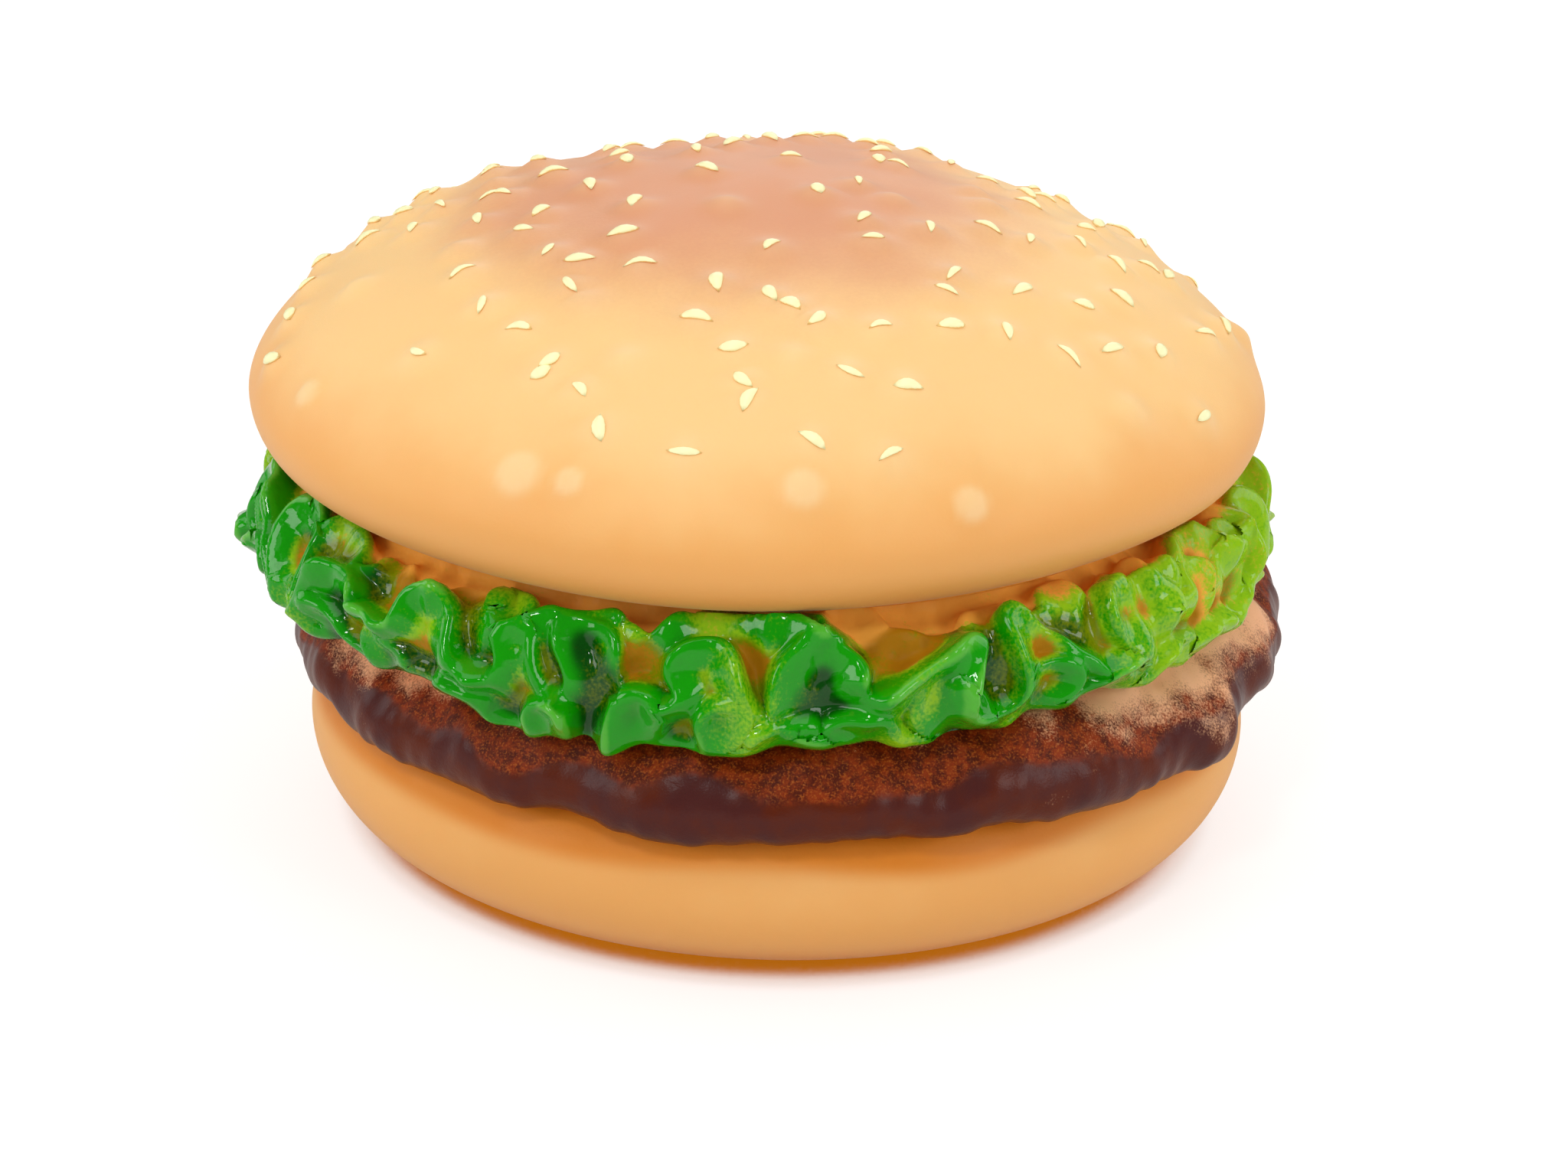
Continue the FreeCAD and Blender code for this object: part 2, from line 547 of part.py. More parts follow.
def from_edge(edge, along, up):
    """Where a point of the side lies from the nearest point of a fold's edge.

    Returns the distance, the edge's own sideways direction as (along, up), how far the point lies to
    the edge's left, and the edge's strength there.
    """
    count, girth = len(edge), 2 * math.pi * LETTUCE_RADIUS
    start = round(along / girth * count)
    best = None
    for step in range(start - 57, start + 58):
        ds = edge[step % count][0] + (step // count) * girth - along
        dh = edge[step % count][1] - up
        if best is None or ds * ds + dh * dh < best[0]:
            best = (ds * ds + dh * dh, ds, dh, step)
    _, ds, dh, step = best
    before, after = edge[(step - 1) % count], edge[(step + 1) % count]
    way_s = after[0] - before[0] + ((step + 1) // count - (step - 1) // count) * girth
    way_h = after[1] - before[1]
    length = math.hypot(way_s, way_h)
    side = (-way_h / length, way_s / length)
    left = -(ds * side[0] + dh * side[1])
    past = max(abs(ds * side[1] - dh * side[0]) - 0.25 * length, 0.0)
    return math.hypot(left, past), side, left, edge[step % count][2]


def leaf_relief(edges, angle, up, level):
    """How the leaf's side is moved at one point: outwards, up the section and round the ring."""
    bearing = (angle + math.pi) % (2 * math.pi) - math.pi
    calm = ease(-1.15, -0.6, bearing) * ease(0.6, 0.0, bearing)
    soft = LEAF_ROUND * (1 + calm)
    crest, nearest = 0.0, None
    for edge in edges:
        distance, side, left, strength = from_edge(edge, LETTUCE_RADIUS * angle, up)
        steep = 0.5 + 0.5 * math.tanh(left / 0.6)
        reach = LEAF_GENTLE + (LEAF_STEEP - LEAF_GENTLE) * steep
        crest = max(crest, strength * math.exp((soft - math.hypot(distance, soft)) / reach))
        if nearest is None or distance < nearest[0]:
            nearest = (distance, side)
    pull = 0.8 * bell(nearest[0], 1.3)
    outward = (LEAF_PINCH * crest * (1 - 0.2 * calm) - LEAF_DISH * (1 - 0.3 * calm)
               + swell(LEAF_SWELL, angle, level))
    return outward, pull * nearest[1][1], pull * nearest[1][0]


def lid_underside(radius):
    """Height of the lid's curved underside at a radius."""
    share = min(max((radius - LID_LIP_R) / (LID_RADIUS - LID_LIP_R), 0.0), 1.0)
    return LID_BELLY_Z - (LID_BELLY_Z - LID_LIP_Z) * math.sqrt(1 - share ** 2)


def make_lettuce():
    """Lettuce ring: a leaf's folded frill, with a ledge inside for the deck and a gap for the hinge."""
    low, top, wide, inner = PATTY_TOP_Z, LETTUCE_TOP_Z, LETTUCE_RADIUS, DECK_RADIUS + SLIP
    section = even_points((
        (wide - 5.4, low), (wide - 3.8, low - 0.8), (wide - 1.8, low - 1.4), (wide - 0.5, low + 1.0),
        (wide + 0.3, low + 4.2), (wide + 0.2, low + 7.4), (wide - 0.9, low + 10.2),
        (wide - 2.8, low + 12.3), (wide - 4.8, low + 13.3), (wide - 6.8, low + 13.5),
        (inner + 0.9, low + 13.0), (inner + 0.6, top + 0.4), (inner + 0.4, top),
    ), LEAF_ROWS)
    edges = [leaf_edge(*edge) for edge in LEAF_EDGES]
    rings, up = [], 0.0
    for number, ((radius, height), (way_r, way_z)) in enumerate(zip(section, section_ways(section))):
        level = number / (LEAF_ROWS - 1)
        up += math.dist(section[max(number - 1, 0)], (radius, height))
        hold = ease(0, 0.12, level) * ease(0.96, 0.8, level)
        hem = ease(0, 0.1, level) * ease(0.5, 0.12, level)
        shift = LETTUCE_SHIFT * ease(inner + 1, wide - 7, radius)
        ring = []
        for step in range(LEAF_POLES):
            angle = 2 * math.pi * step / LEAF_POLES
            out, rise, drift = [move * hold for move in leaf_relief(edges, angle, up, level)]
            front = bell(math.atan2(-math.cos(angle), -math.sin(angle)), math.radians(30))
            lift = (LEAF_LIFT * (1 - front) - LEAF_DIP * front + LEAF_PERCH * math.cos(angle / 2) ** 2
                    + swell(LEAF_DRAPE, angle))
            reach = radius + way_z * out + way_r * rise
            drop = way_r * out * (0.6 if way_r > 0 else 1.0)
            level_z = height - drop + way_z * rise + hem * lift
            if number < LEAF_ROWS - 1:
                level_z = min(level_z, lid_underside(reach) - LEAF_GAP)
            ring.append(vec(
                shift + reach * math.cos(angle) - drift * math.sin(angle),
                reach * math.sin(angle) + drift * math.cos(angle), level_z,
            ))
        rings.append(ring)
    hinge_half = BARREL_HALF_WIDTH + EAR_WIDTH + 1.6
    return skinned_puck(rings).cut([
        rod(RING_BORE, 0, FAR),
        rod(inner, DECK_UNDER_Z, FAR),
        rod(wide - 6.4, low + WALL, DECK_UNDER_Z - WALL, LETTUCE_SHIFT),
        block(-hinge_half, hinge_half, RING_BORE - 10, FAR, DECK_UNDER_Z - SLIP, FAR),
    ])


# ---- Keypad deck and keys ----

def key_places():
    """Every key as (name, x, y, depth), digits first and function keys in the front row."""
    places = []
    for row, names in enumerate(DIGIT_ROWS + (FUNCTION_KEYS,)):
        depth = KEY_DEPTH if row < len(DIGIT_ROWS) else FUNCTION_KEY_DEPTH
        for column, name in enumerate(names):
            x = (column - 1) * KEY_COLUMN_PITCH
            places.append((name, x, KEY_FIRST_ROW_Y - row * KEY_ROW_PITCH, depth))
    return places


def board_screw_places():
    """The four screws that hold the board to the deck, as (x, y)."""
    inset = SMALL_BOSS_R + 0.3
    return [(sign * (BOARD_HALF_WIDTH - inset - 1.4), y)
            for sign in (-1, 1) for y in (BOARD_FRONT_Y + inset, BOARD_BACK_Y - inset)]


def make_deck():
    """Keypad deck: key holes, microphone pocket, hook guide, bosses below and the hinge barrel."""
    plate = rod(DECK_RADIUS, DECK_UNDER_Z, DECK_TOP_Z)
    rim = [e for e in plate.Edges if abs(e.BoundBox.ZMin - DECK_TOP_Z) < 1e-6
           and e.BoundBox.ZLength < 1e-6]
    plate = plate.makeFillet(1.0, rim)
    rows = len(DIGIT_ROWS) + 1
    pad_y = KEY_FIRST_ROW_Y - KEY_ROW_PITCH * (rows - 1) / 2
    bezel_width = KEY_COLUMN_PITCH * 2 + KEY_WIDTH + 5
    bezel_depth = KEY_ROW_PITCH * (rows - 1) + KEY_DEPTH + 5
    bezel = rounded_block(bezel_width, bezel_depth, 6, DECK_UNDER_Z, DECK_TOP_Z + 0.8, 0, pad_y)
    bezel = bezel.cut(rounded_block(bezel_width - 3, bezel_depth - 3, 4.5,
                                    DECK_TOP_Z, DECK_TOP_Z + 2, 0, pad_y))
    pieces = [plate, bezel]
    pieces += [rod(BOSS_R, BOSS_JOINT_Z, DECK_UNDER_Z + 1, x, y) for x, y in four_round(CASE_SCREW_CIRCLE)]
    pieces += [rod(SMALL_BOSS_R, BOARD_TOP_Z, DECK_UNDER_Z + 1, x, y) for x, y in board_screw_places()]
    pieces += [rod(SMALL_BOSS_R, HOOK_BRACKET_TOP_Z, DECK_UNDER_Z + 1, sign * HOOK_POST_X, HOOK_Y)
               for sign in (-1, 1)]
    mic_pocket = MIC_R + MIC_BOOT_WALL
    pieces.append(rod(mic_pocket + PRESSED + 1.0, DECK_UNDER_Z - MIC_HEIGHT - 2, DECK_UNDER_Z + 1,
                      0, MIC_Y))
    pieces.append(block(-BARREL_HALF_WIDTH, BARREL_HALF_WIDTH, RING_BORE - 4, HINGE_Y,
                        DECK_UNDER_Z, DECK_TOP_Z))
    pieces.append(cross_rod(BARREL_R, -BARREL_HALF_WIDTH, BARREL_HALF_WIDTH, HINGE_Y, HINGE_Z))
    cuts = [
        rounded_block(KEY_WIDTH + 2 * SLIP, depth + 2 * SLIP, KEY_CORNER + SLIP,
                      DECK_UNDER_Z - 1, DECK_TOP_Z + 1, x, y)
        for _, x, y, depth in key_places()
    ]
    cuts += [rod(CASE_SCREW_R + PRESSED, 0, CASE_SEAT_Z + CASE_SCREW_LENGTH + 1, x, y)
             for x, y in four_round(CASE_SCREW_CIRCLE)]
    small_holes = board_screw_places() + [(sign * HOOK_POST_X, HOOK_Y) for sign in (-1, 1)]
    cuts += [rod(SMALL_SCREW_R + PRESSED, 0, DECK_UNDER_Z, x, y) for x, y in small_holes]
    cuts.append(rod(mic_pocket + PRESSED, 0, DECK_UNDER_Z, 0, MIC_Y))
    cuts += [rod(0.6, 0, FAR, 2.2 * math.cos(a), MIC_Y + 2.2 * math.sin(a))
             for a in [k * math.pi / 2 for k in range(4)]]
    cuts.append(rod(0.6, 0, FAR, 0, MIC_Y))
    cuts.append(rod(HOOK_STEM_R + SLIP, 0, FAR, 0, HOOK_Y))
    cuts.append(cross_rod(HINGE_PIN_R + PRESSED, -FAR, FAR, HINGE_Y, HINGE_Z))
    return fused(pieces).cut(cuts)


def make_key(x, y, depth):
    """One keycap: a soft-edged face above the deck and a rim that keeps it in."""
    cap = rounded_block(KEY_WIDTH, depth, KEY_CORNER, KEY_UNDER_Z, KEY_TOP_Z, x, y)
    crown = [e for e in cap.Edges if e.BoundBox.ZMin > KEY_TOP_Z - 1e-6]
    cap = cap.makeFillet(0.7, crown)
    flange_top = min(KEY_UNDER_Z + KEY_FLANGE, DECK_UNDER_Z - SLIP / 2)
    flange = rounded_block(KEY_WIDTH + 2 * KEY_FLANGE, depth + 2 * KEY_FLANGE,
                           KEY_CORNER + KEY_FLANGE, KEY_UNDER_Z, flange_top, x, y)
    return fused([cap, flange])


def make_keypad_mat():
    """Rubber mat on the board, with a dome under every key."""
    front = KEY_FIRST_ROW_Y - KEY_ROW_PITCH * len(DIGIT_ROWS) - FUNCTION_KEY_DEPTH / 2 - KEY_FLANGE - 1
    back = KEY_FIRST_ROW_Y + KEY_DEPTH / 2 + KEY_FLANGE
    web_top = BOARD_TOP_Z + MAT_WALL
    mat = rounded_block(2 * BOARD_HALF_WIDTH - 1, back - front, 3, BOARD_TOP_Z, web_top,
                        0, (front + back) / 2)
    domes = [Part.makeCone(3.0, 2.2, DOME_HEIGHT, vec(x, y, web_top)) for _, x, y, _ in key_places()]
    return fused([mat] + domes)


def make_board():
    """Printed circuit board hung under the deck."""
    board = rounded_block(2 * BOARD_HALF_WIDTH, BOARD_BACK_Y - BOARD_FRONT_Y, 2,
                          BOARD_UNDER_Z, BOARD_TOP_Z, 0, (BOARD_FRONT_Y + BOARD_BACK_Y) / 2)
    return board.cut([rod(SMALL_SCREW_R + 0.2, 0, FAR, x, y) for x, y in board_screw_places()])


def make_board_components():
    """Chips, capacitors and sockets soldered under the board."""
    pieces = [block(x - w / 2, x + w / 2, y - d / 2, y + d / 2, BOARD_UNDER_Z - h, BOARD_UNDER_Z)
              for x, y, w, d, h in CHIPS]
    pieces += [rod(r, BOARD_UNDER_Z - h, BOARD_UNDER_Z, x, y) for x, y, r, h in CANS]
    for number in range(3):
        y = RESISTOR_Y + number * 2 * RESISTOR_DEPTH
        pieces.append(block(RESISTOR_X, RESISTOR_X + RESISTOR_WIDTH, y - RESISTOR_DEPTH / 2,
                            y + RESISTOR_DEPTH / 2, BOARD_UNDER_Z - 1.2, BOARD_UNDER_Z))
    return Part.makeCompound(pieces)


def make_board_screws():
    """Four small screws that hold the board up against the deck's bosses."""
    return Part.makeCompound([
        screw(SMALL_SCREW_R, 5.0, SMALL_HEAD_R, SMALL_HEAD_HEIGHT, x, y, BOARD_UNDER_Z)
        for x, y in board_screw_places()
    ])


def make_case_screws():
    """Four long screws that clamp the bun, patty, lettuce and deck together."""
    return Part.makeCompound([
        screw(CASE_SCREW_R, CASE_SCREW_LENGTH, CASE_HEAD_R, CASE_HEAD_HEIGHT, x, y, CASE_SEAT_Z)
        for x, y in four_round(CASE_SCREW_CIRCLE)
    ])


def make_microphone():
    """Electret capsule under the deck's front edge."""
    top = DECK_UNDER_Z - 0.8
    capsule = rod(MIC_R, top - MIC_HEIGHT, top, 0, MIC_Y)
    return capsule.cut(rod(1.0, top - 0.6, top, 0, MIC_Y))


def make_microphone_boot():
    """Rubber boot that seals the microphone in its pocket."""
    boot = rod(MIC_R + MIC_BOOT_WALL, DECK_UNDER_Z - MIC_HEIGHT - 1.6, DECK_UNDER_Z, 0, MIC_Y)
    cavity = rod(MIC_R, 0, DECK_UNDER_Z - 0.8, 0, MIC_Y)
    return boot.cut([cavity, rod(2.8, 0, FAR, 0, MIC_Y)])


# ---- Hook switch ----

def make_hook_plunger():
    """Plunger that the closed lid holds down; it rises as the lid opens."""
    flange_top = DECK_UNDER_Z - HOOK_TRAVEL - SLIP
    stem = rod(HOOK_STEM_R, flange_top - 1.0, HOOK_TOP_Z, 0, HOOK_Y)
    crown = [e for e in stem.Edges if e.BoundBox.ZMin > HOOK_TOP_Z - 1e-6]
    stem = stem.makeFillet(1.0, crown)
    flange = rod(HOOK_FLANGE_R, flange_top - 1.0, flange_top, 0, HOOK_Y)
    tip = rod(HOOK_TIP_R, HOOK_BRACKET_TOP_Z + 2.6, flange_top, 0, HOOK_Y)
    return fused([stem, flange, tip])


def make_hook_spring():
    """Coil spring round the plunger's tip, between its flange and the bracket."""
    low = HOOK_BRACKET_TOP_Z + SPRING_WIRE_R
    high = DECK_UNDER_Z - HOOK_TRAVEL - SLIP - 1.0 - SPRING_WIRE_R
    helix = Part.makeHelix((high - low) / 4, high - low, SPRING_COIL_R)
    wire = Part.Wire([Part.makeCircle(SPRING_WIRE_R, vec(SPRING_COIL_R, 0, 0), vec(0, 1, 0.12))])
    spring = Part.Wire(helix).makePipeShell([wire], True, True)
    spring.translate(vec(0, HOOK_Y, low))
    return spring


def make_hook_bracket():
    """Plate on two posts that carries the spring above and the switch below."""
    plate = rounded_block(2 * (HOOK_POST_X + 2.5), 7, 1.5, HOOK_BRACKET_TOP_Z - HOOK_BRACKET_WALL,
                          HOOK_BRACKET_TOP_Z, 0, HOOK_Y)
    holes = [rod(SMALL_SCREW_R + 0.2, 0, FAR, sign * HOOK_POST_X, HOOK_Y) for sign in (-1, 1)]
    return plate.cut(holes + [rod(1.8, 0, FAR, 0, HOOK_Y)])


def make_hook_switch():
    """Small switch under the bracket, whose button meets the plunger's tip."""
    under = HOOK_BRACKET_TOP_Z - HOOK_BRACKET_WALL
    case = rounded_block(HOOK_SWITCH_WIDTH, HOOK_SWITCH_DEPTH, 0.8, under - HOOK_SWITCH_HEIGHT, under,
                         0, HOOK_Y)
    legs = [block(x - 0.5, x + 0.5, HOOK_Y - 0.2, HOOK_Y + 0.2,
                  under - HOOK_SWITCH_HEIGHT - 2.8, under - HOOK_SWITCH_HEIGHT + 0.2)
            for x in (-0.35 * HOOK_SWITCH_WIDTH, 0, 0.35 * HOOK_SWITCH_WIDTH)]
    return fused([case, rod(1.2, under - 1, HOOK_BRACKET_TOP_Z + 2.4, 0, HOOK_Y)] + legs)


def make_hook_screws():
    """Two small screws that hold the bracket to the deck's posts."""
    seat = HOOK_BRACKET_TOP_Z - HOOK_BRACKET_WALL
    head_gap = SMALL_HEAD_R
    return Part.makeCompound([
        screw(SMALL_SCREW_R, 5.0, head_gap, SMALL_HEAD_HEIGHT, sign * HOOK_POST_X, HOOK_Y, seat)
        for sign in (-1, 1)
    ])


# ---- Rear panel and ringer ----

def make_line_jack():
    """Modular line socket behind the rear panel."""
    front = REAR_PANEL_Y
    body = block(JACK_X - JACK_WIDTH / 2, JACK_X + JACK_WIDTH / 2, front - JACK_DEPTH, front,
                 JACK_Z - JACK_HEIGHT / 2, JACK_Z + JACK_HEIGHT / 2)
    socket = block(JACK_X - SOCKET_WIDTH / 2, JACK_X + SOCKET_WIDTH / 2, front - SOCKET_DEPTH, front,
                   JACK_Z - SOCKET_HEIGHT / 2, JACK_Z + SOCKET_HEIGHT / 2)
    latch = block(JACK_X - 3.2, JACK_X + 3.2, front - 4.0, front,
                  JACK_Z - SOCKET_HEIGHT / 2 - 1.2, JACK_Z)
    return body.cut([socket, latch])


def make_jack_contacts():
    """Four sprung wires that slope down from the roof of the socket."""
    roof = JACK_Z + SOCKET_HEIGHT / 2
    back = REAR_PANEL_Y - SOCKET_DEPTH
    wires = []
    for number in range(4):
        x = JACK_X + (number - 1.5) * 1.27
        outline = [vec(x - 0.25, back, roof - 1.9), vec(x - 0.25, back + 7.5, roof - 0.5),
                   vec(x - 0.25, back + 7.5, roof), vec(x - 0.25, back, roof - 1.4)]
        wires.append(Part.Face(Part.makePolygon(outline + outline[:1])).extrude(vec(0.5, 0, 0)))
    return Part.makeCompound(wires)


def switch_channel(grow):
    """The space that the ringer switch's knob slides in, grown by a gap on every side but one."""
    half = SWITCH_KNOB_WIDTH / 2 + 1.0 + SWITCH_TRAVEL
    back = REAR_PANEL_Y - WALL
    return block(SWITCH_X - half - grow, SWITCH_X + half + grow, back - 3.0, back,
                 JACK_Z - SWITCH_KNOB_HEIGHT / 2 - grow, JACK_Z + SWITCH_KNOB_HEIGHT / 2 + grow)


def make_ringer_switch():
    """Body of the ringer switch, inside the rear panel."""
    back = REAR_PANEL_Y - WALL
    body = block(SWITCH_X - 7.0, SWITCH_X + 6.4, back - 7.0, back, JACK_Z - 3.2, JACK_Z + 3.2)
    return body.cut(switch_channel(SLIP))


def make_ringer_knob():
    """Ribbed knob that slides sideways in the rear panel."""
    back = REAR_PANEL_Y - WALL
    half_high = SWITCH_KNOB_HEIGHT / 2
    foot_half = SWITCH_KNOB_WIDTH / 2 + 1.0
    foot = block(SWITCH_X - foot_half, SWITCH_X + foot_half, back - 3.0 + SLIP, back - SLIP,
                 JACK_Z - half_high, JACK_Z + half_high)
    knob = block(SWITCH_X - SWITCH_KNOB_WIDTH / 2, SWITCH_X + SWITCH_KNOB_WIDTH / 2,
                 back - 1.0, REAR_PANEL_Y + SWITCH_KNOB_PROUD, JACK_Z - half_high, JACK_Z + half_high)
    grooves = [
        block(SWITCH_X + x - 0.25, SWITCH_X + x + 0.25, REAR_PANEL_Y + SWITCH_KNOB_PROUD - 0.4, FAR, 0, FAR)
        for x in (-1.0, 0, 1.0)
    ]
    return fused([foot, knob]).cut(grooves)


def make_ringer():
    """Round sounder over the slots in the floor."""
    can = rod(RINGER_R, FLOOR_TOP_Z, FLOOR_TOP_Z + RINGER_HEIGHT, RINGER_X, RINGER_Y)
    crown = [e for e in can.Edges if e.BoundBox.ZMin > FLOOR_TOP_Z + RINGER_HEIGHT - 1e-6]
    can = can.makeFillet(1.0, crown)
    mouth = rod(RINGER_R - 3.0, FLOOR_TOP_Z, FLOOR_TOP_Z + 2.0, RINGER_X, RINGER_Y)
    return can.cut(mouth)


def make_hinge_pin():
    """Steel pin through the deck's barrel and the lid's two ears."""
    half = BARREL_HALF_WIDTH + SLIP + EAR_WIDTH
    pin = cross_rod(HINGE_PIN_R, -half, half, HINGE_Y, HINGE_Z)
    ends = [e for e in pin.Edges if e.BoundBox.XLength < 1e-6]
    return pin.makeChamfer(0.3, ends)


def make_lid_bumpers():
    """Two rubber pads on the deck that the closed lid rests on."""
    return Part.makeCompound([
        Part.makeCone(BUMPER_R, BUMPER_TIP_R, PANEL_Z - BUMPER_GAP - DECK_TOP_Z,
                      vec(sign * BUMPER_X, BUMPER_Y, DECK_TOP_Z))
        for sign in (-1, 1)
    ])


# ---- Upper half ----

def dome_height(radius, half_width=LID_RADIUS, rise=LID_TOP_Z - LID_BELLY_Z):
    """Height of the dome's surface at a radius."""
    share = 1 - (radius / half_width) ** LID_CROWN
    return LID_BELLY_Z + rise * share ** (1 / LID_SHOULDER)


def lid_outer():
    """The solid outline of the top bun."""
    edge = LID_RADIUS - LID_LIP_R
    lower = rounded_edge(LID_LIP_R, LID_BELLY_Z, edge, LID_BELLY_Z - LID_LIP_Z, (2, 2), -90, 0)
    upper = rounded_edge(0, LID_BELLY_Z, LID_RADIUS, LID_TOP_Z - LID_BELLY_Z,
                         (LID_CROWN, LID_SHOULDER), 0, 90, 17)
    return turned(joined_ends(lower, upper))


def lid_hollow():
    """The space inside the top bun, one wall in from its outline, and its round mouth."""
    edge = LID_RADIUS - LID_LIP_R - WALL
    lower = rounded_edge(LID_LIP_R, LID_BELLY_Z, edge, LID_BELLY_Z - LID_LIP_Z - WALL, (2, 2), -90, 0)
    upper = rounded_edge(0, LID_BELLY_Z, LID_RADIUS - WALL, LID_TOP_Z - LID_BELLY_Z - WALL,
                         (LID_CROWN, LID_SHOULDER), 0, 90, 17)
    return turned(joined_ends(lower, upper)).fuse(rod(LID_LIP_R, 0, LID_BELLY_Z))


def seed_places():
    """Where the seeds stand, as (x, y): each patch is a small spiral of golden-angle steps."""
    places = []
    for bearing, reach, count, pitch in SEED_GROUPS:
        start = math.radians(bearing)
        for step in range(count):
            spread, angle = pitch * math.sqrt(step + 0.3), start + step * GOLDEN_ANGLE
            x = reach * LID_RADIUS * math.cos(start) + spread * math.cos(angle)
            y = reach * LID_RADIUS * math.sin(start) + spread * math.sin(angle)
            shrink = min(1.0, SEED_REACH * LID_RADIUS / math.hypot(x, y))
            places.append((x * shrink, y * shrink))
    return places


def seed_solids():
    """Raised sesame seeds, turned every way; one in nine is worn away."""
    seeds = []
    for number, (x, y) in enumerate(seed_places()):
        if number % 9 == 4:
            continue
        radius, step = math.hypot(x, y), 0.05
        slope = (dome_height(radius + step) - dome_height(radius - step)) / (2 * step)
        normal = vec(-slope * x / radius, -slope * y / radius, 1)
        stretch = FreeCAD.Matrix()
        stretch.scale((SEED_LENGTH + SEED_SPREAD * math.sin(1.7 * number) ** 2) / 2,
                      SEED_WIDTH / 2 * (1 + 0.25 * math.sin(2.3 * number)), SEED_PROUD)
        seed = Part.makeSphere(1.0).transformGeometry(stretch)
        seed.rotate(vec(0, 0, 0), vec(0, 0, 1), math.degrees(2.4 * number))
        turn = FreeCAD.Rotation(vec(0, 0, 1), normal)
        seed.Placement = FreeCAD.Placement(vec(x, y, dome_height(radius)), turn).multiply(seed.Placement)
        seeds.append(seed)
    return seeds


def make_top_bun():
    """Domed shell with seeds moulded on it, screw bosses inside and notches for the hinge ears."""
    outer = lid_outer()
    shell = outer.cut(lid_hollow())
    bosses = [rod(BOSS_R, PANEL_TOP_Z, LID_TOP_Z, x, y).common(outer)
              for x, y in four_round(LID_SCREW_CIRCLE)]
    shell = shell.fuse(bosses)
    cuts = [rod(CASE_SCREW_R + PRESSED, 0, PANEL_Z + LID_SCREW_LENGTH + 1, x, y)
            for x, y in four_round(LID_SCREW_CIRCLE)]
    ear_low = BARREL_HALF_WIDTH + SLIP
    for sign in (-1, 1):
        sides = sorted((sign * (ear_low - SLIP), sign * (ear_low + EAR_WIDTH + SLIP)))
        cuts.append(block(sides[0], sides[1], LID_LIP_R - 8, FAR, 0, PANEL_TOP_Z + SLIP))
    return shell.cut(cuts).fuse(seed_solids()).cut(lid_hollow_for_seeds())


def lid_hollow_for_seeds():
    """A plug a little inside the shell's inner face, which trims the roots of the seeds."""
    return rod(LID_LIP_R - 8, 0, PANEL_TOP_Z)


def ear_blocks():
    """The two hinge ears: arms from the panel's rear edge, and the barrels at their ends."""
    pieces = []
    ear_low = BARREL_HALF_WIDTH + SLIP
    for sign in (-1, 1):
        low, high = sorted((sign * ear_low, sign * (ear_low + EAR_WIDTH)))
        pieces.append(block(low, high, LID_LIP_R - 10, HINGE_Y, PANEL_Z, PANEL_TOP_Z))
        pieces.append(cross_rod(BARREL_R, low, high, HINGE_Y, HINGE_Z))
    return pieces


def grille_holes():
    """Nineteen sound holes in two rings round a centre hole."""
    holes = [rod(1.1, 0, FAR, 0, RECEIVER_Y)]
    for count, circle in ((6, 4.5), (12, 9.0)):
        for step in range(count):
            angle = 2 * math.pi * step / count
            holes.append(rod(1.1, 0, FAR, circle * math.cos(angle), RECEIVER_Y + circle * math.sin(angle)))
    return holes


def make_earpiece_panel():
    """Panel that closes the lid: grille, receiver cup, clamp posts, hook pusher and hinge ears."""
    plate = rod(LID_LIP_R - SLIP, PANEL_Z, PANEL_TOP_Z)
    cup = rod(RECEIVER_R + SLIP + 1.8, PANEL_TOP_Z - 1, RECEIVER_TOP_Z - 0.6, 0, RECEIVER_Y)
    cup = cup.cut(rod(RECEIVER_R + SLIP, PANEL_TOP_Z, FAR, 0, RECEIVER_Y))
    pieces = [plate, cup]
    pieces += [rod(SMALL_BOSS_R + 0.4, PANEL_TOP_Z - 1, MAGNET_TOP_Z, sign * CLAMP_POST_X, RECEIVER_Y)
               for sign in (-1, 1)]
    pieces += ear_blocks()
    cuts = grille_holes()
    dish = Part.makeCone(15.0, 12.0, 0.9, vec(0, RECEIVER_Y, PANEL_Z))
    cuts.append(dish)
    cuts += [rod(SMALL_SCREW_R + PRESSED, PANEL_TOP_Z + 1, FAR, sign * CLAMP_POST_X, RECEIVER_Y)
             for sign in (-1, 1)]
    for x, y in four_round(LID_SCREW_CIRCLE):
        cuts.append(Part.makeCone(CASE_HEAD_R + PRESSED, CASE_SCREW_R + PRESSED, 1.4, vec(x, y, PANEL_Z)))
        cuts.append(rod(CASE_SCREW_R + PRESSED, 0, FAR, x, y))
    cuts.append(cross_rod(HINGE_PIN_R + RUNNING, -FAR, FAR, HINGE_Y, HINGE_Z))
    return fused(pieces).cut(cuts)


def make_hook_pad():
    """Pad stuck to the panel, which presses the hook plunger when the lid is closed."""
    pad = rod(HOOK_PAD_R, HOOK_TOP_Z + BUMPER_GAP, PANEL_Z, 0, HOOK_Y)
    rim = [e for e in pad.Edges if e.BoundBox.ZMax < HOOK_TOP_Z + BUMPER_GAP + 1e-6]
    return pad.makeFillet(0.5, rim)


def make_lid_screws():
    """Four countersunk screws that hold the panel to the top bun's bosses."""
    return Part.makeCompound([
        flat_screw(CASE_SCREW_R, LID_SCREW_LENGTH, CASE_HEAD_R, 1.4, x, y, PANEL_Z)
        for x, y in four_round(LID_SCREW_CIRCLE)
    ])


def make_receiver_gasket():
    """Foam ring between the receiver and the panel."""
    ring = rod(RECEIVER_R, PANEL_TOP_Z, GASKET_TOP_Z, 0, RECEIVER_Y)
    return ring.cut(rod(RECEIVER_R - 4.5, 0, FAR, 0, RECEIVER_Y))


